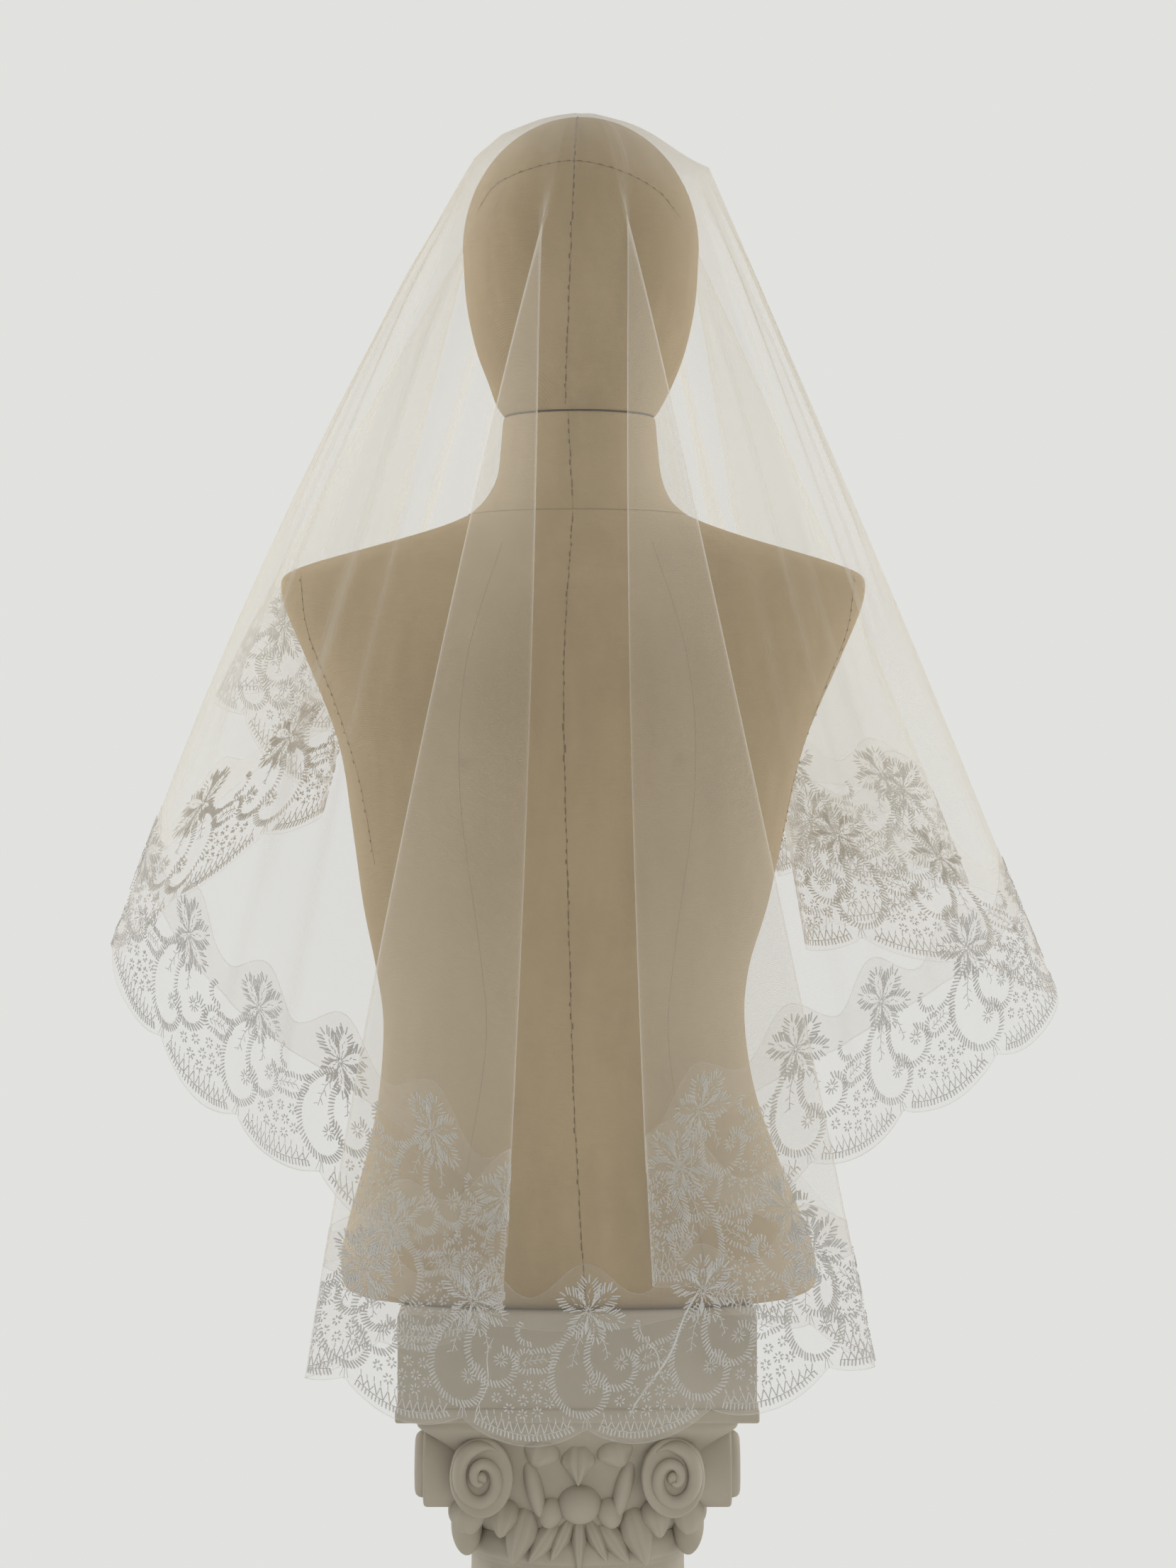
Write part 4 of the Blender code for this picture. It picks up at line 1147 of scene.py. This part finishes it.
def borderStrokes():
    # along the scallop: a line of stitches, a zigzag over it and ticks under it
    along = np.linspace(9.0, repeatLong * 1000 - 9.0, 90)
    foot = -veil["scallopDrop"] * 1000 * np.abs(np.sin(np.pi * along / (repeatLong * 1000))) ** 0.7
    path = np.column_stack([along, foot + 7.2])
    found = stemStrokes(path, 2.4, 0.55) + hairStrokes(path, 2.4, 4.2, 0.12, 0.05)
    peaks = evenPoints(path, 2.4)
    for i, (a, b) in enumerate(zip(peaks, peaks[1:])):
        high = 7.2 if 4 < i < len(peaks) - 5 else 5.0
        lift = np.array((0.0, high))
        found.append((*(a + lift * (i % 2)), *(b + lift * ((i + 1) % 2)), 0.7))
        if i % 2:
            found.append((*(a + lift), a[0] - 0.6, a[1] + high + 3.4, 0.6))
    # loose thread ends where two scallops meet
    return found + [(-0.5, 6.0, -2.5, -1.6, 0.4), (0.3, 6.0, 0.6, -2.0, 0.4), (0.9, 5.5, 3.4, -0.8, 0.4)]


def repeatStrokes():
    centre = np.array(motif["flower"])
    found = roundStrokes(centre, 0.8, 4.2, 13, 0.6)
    for turn, long, half in motif["petals"]:
        found += petalStrokes(centre, turn, long, half)
    large = spiralPath(motif["largeScroll"], 38.0, 96, 440, 7.6, 0.92)
    small = spiralPath(motif["smallScroll"], 27.0, 138, 440, 6.6, 0.95)
    for path, eye in ((large, motif["largeScroll"]), (small, motif["smallScroll"])):
        found += hairStrokes(path, motif["hairPitch"], motif["hairLong"], 0.45, 0.5)
        found += roundStrokes(np.array(eye), 1.2, 5.0, 10, 0.75, 0.3)
    found += sprigStrokes(smoothRows([(-2.0, 57.0), (-6.5, 47.0), (-9.0, 35.5)], 8), 3.4, 3.4)
    found += sprigStrokes(smoothRows([(11.0, 53.0), (13.0, 47.0), (14.0, 41.0)], 8), 2.6, 2.8)
    found += leafStrokes()
    for spot in motif["florets"]:
        found += roundStrokes(np.array(spot), 1.3, 3.5, 7, 1.05, spot[0])
    return np.array(found + borderStrokes())


def stitchPieces():
    draw = np.random.default_rng(11)
    one = repeatStrokes()
    material = plainFinish("laceThread", (0.90, 0.89, 0.875), 0.36, 900.0, 0.3)
    count = len(one)
    across = np.array((0.13, 0.87))
    made = []
    print(f"stitches in a repeat: {count}, repeats: {repeats}")
    for name, start, end in stretchRows:
        first, last = foldPlaces[start], foldPlaces[end]
        last += bends if last < first else 0
        low, high = phaseOf(np.array([first, last]))
        ids = np.arange(math.ceil(low + 0.35), math.ceil(high + 0.35))
        strokes = np.tile(one, (len(ids), 1))
        strokes[:, 0:4] += draw.normal(0.0, 0.16, (len(strokes), 4))
        wides = strokes[:, 4] * draw.uniform(0.85, 1.15, len(strokes)) / 2000
        base = np.repeat(ids, count)
        ends = strokes[:, 0:4].reshape(-1, 2, 2)
        shares = np.array((0.0, across[0], across[1], 1.0))
        flat = ends[:, None, 0] * (1 - shares)[None, :, None] + ends[:, None, 1] * shares[None, :, None]
        places = placeOf((base[:, None] - flat[..., 0] / (repeatLong * 1000)).ravel())
        points, outs = clothPoints(places, flat[..., 1].ravel() / 1000, veil["stitchOff"])
        points, outs = points.reshape(-1, 4, 3), outs.reshape(-1, 4, 3)
        ways = points[:, 3] - points[:, 0]
        ways /= np.linalg.norm(ways, axis=1)[:, None]
        sides = np.cross(ways[:, None], outs)
        corners = [points[:, 0:1]]
        for ring in (1, 2):
            for sideShare, outShare in ((1, 0), (0, 0.75), (-1, 0), (0, -0.75)):
                corners.append(
                    (points[:, ring] + (sides[:, ring] * sideShare + outs[:, ring] * outShare) * wides[:, None])[:, None]
                )
        corners.append(points[:, 3:4])
        vertices = np.concatenate(corners, axis=1).reshape(-1, 3)
        pattern = [(0, 1 + (i + 1) % 4, 1 + i) for i in range(4)]
        pattern += [(1 + i, 1 + (i + 1) % 4, 5 + (i + 1) % 4, 5 + i) for i in range(4)]
        pattern += [(9, 5 + i, 5 + (i + 1) % 4) for i in range(4)]
        faces = [tuple(10 * stroke + corner for corner in face) for stroke in range(len(strokes)) for face in pattern]
        made.append(meshPiece("laceStitches" + name, vertices, faces, material))
    return made


def pulledCreases():
    # sharp creases where the net lies doubled. columns: two ends as bends past the middle and metres above the hem
    lines = []
    material = plainFinish("doubledTulle", (0.92, 0.915, 0.90), 0.5, 400.0, 0.3)
    for (startAt, startHigh, endAt, endHigh), radius in creaseLines:
        share = np.linspace(0.0, 1.0, 26)
        places = startAt + (endAt - startAt) * share + 0.02 * np.sin(share * 9.0)
        heights = startHigh + (endHigh - startHigh) * share
        path, outs = clothPoints(places, heights, veil["stitchOff"] + 0.0002)
        slim = radius * (0.35 + 0.65 * np.sin(np.pi * share) ** 0.5)
        lines.append(sweep("crease", path, slim, slim * 0.6, outs, 6, material))
    return joined("pulledCreases", lines)


def veilPieces():
    creases = pulledCreases()
    tulle = tullePiece()
    print("tulle made")
    lace = lacePiece()
    print("lace ground made")
    stitches = stitchPieces()
    nodes = [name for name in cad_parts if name.startswith("tulle_")]
    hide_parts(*nodes)
    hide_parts(*[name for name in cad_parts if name.startswith("lace_")])
    for piece, slot in [(tulle, "tulle"), (creases, "tulle"), (lace, "lace")] + [(piece, "lace") for piece in stitches]:
        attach(piece, "root")


def addLights():
    # bright from behind the form, dim from before it, and plain to the camera's eye
    world = bpy.data.worlds.new("studio")
    scene.world = world
    made = Finish("studio", world)
    x, y, z = made.parts(made.node("ShaderNodeTexCoord"))
    colour = made.mix(y.to(-0.05, 0.40), studio["fill"], studio["glow"])
    colour = made.mix(z.to(-0.35, 0.05, 0.45, 0.0), colour, (0.0, 0.0, 0.0))
    light = made.node("ShaderNodeBackground", {}, {"Color": colour})
    seen = made.node("ShaderNodeBackground", {}, {"Color": studio["surround"]})
    camera = made.node("ShaderNodeLightPath")
    both = made.node("ShaderNodeMixShader", {}, {0: camera, 1: light, 2: seen})
    made.node("ShaderNodeOutputWorld", {}, {"Surface": both})
    lamps = (
        # name, place, size, watts, colour
        ("keyHigh", (-1.3, -2.0, 3.0), 2.2, 17.5, (1.0, 0.98, 0.93)),
        ("sideLeft", (-1.9, 0.6, 1.3), 1.6, 11.0, (1.0, 0.985, 0.95)),
        ("sideRight", (1.9, 0.6, 1.3), 1.6, 11.0, (1.0, 0.985, 0.95)),
        ("headLeft", (-1.0, 0.0, 1.12), 0.5, 1.4, (1.0, 0.99, 0.97)),
        ("headRight", (1.0, 0.0, 1.12), 0.5, 1.4, (1.0, 0.99, 0.97)),
        ("lowFront", (0.7, -2.0, 0.35), 1.2, 8.0, (1.0, 0.96, 0.88)),
    )
    for name, place, size, watts, colour in lamps:
        data = bpy.data.lights.new(name, "AREA")
        data.size = size
        data.energy = watts
        data.color = colour
        lamp = bpy.data.objects.new(name, data)
        lamp.location = place
        aim = np.array((0.0, 0.0, 0.75)) - np.array(place)
        level = math.hypot(aim[0], aim[1])
        lamp.rotation_euler = (math.pi / 2 + math.atan2(aim[2], level), 0.0, math.atan2(-aim[0], aim[1]))
        lamp.visible_camera = False
        scene.collection.objects.link(lamp)


def addStage():
    # a round pale floor that runs out into the surround
    bpy.ops.object.select_all(action="DESELECT")
    bpy.ops.mesh.primitive_circle_add(vertices=128, radius=studio["floorRadius"], fill_type="NGON")
    floor = bpy.context.object
    floor.name = "stage"
    made = Finish("paleFloor")
    reach = made.node("ShaderNodeVectorMath", {"operation": "LENGTH"}, {0: made.place()}, out=1)
    paint = made.node("ShaderNodeBsdfDiffuse", {}, {"Color": studio["floorPaint"]})
    bright = made.node("ShaderNodeEmission", {}, {"Color": studio["surround"]})
    share = reach.to(0.30, studio["floorRadius"] - 0.05)
    floor.data.materials.append(made.done(made.node("ShaderNodeMixShader", {}, {0: share, 1: paint, 2: bright})))


scene.view_settings.view_transform = "Standard"
scene.cycles.transparent_max_bounces = 32
scene.cycles.max_bounces = 4
scene.cycles.diffuse_bounces = 2
addCamera()
addLights()
addStage()
print("studio made")
formPieces()
print("form made")
standPieces()
print("stand made")
veilPieces()
print("veil made")
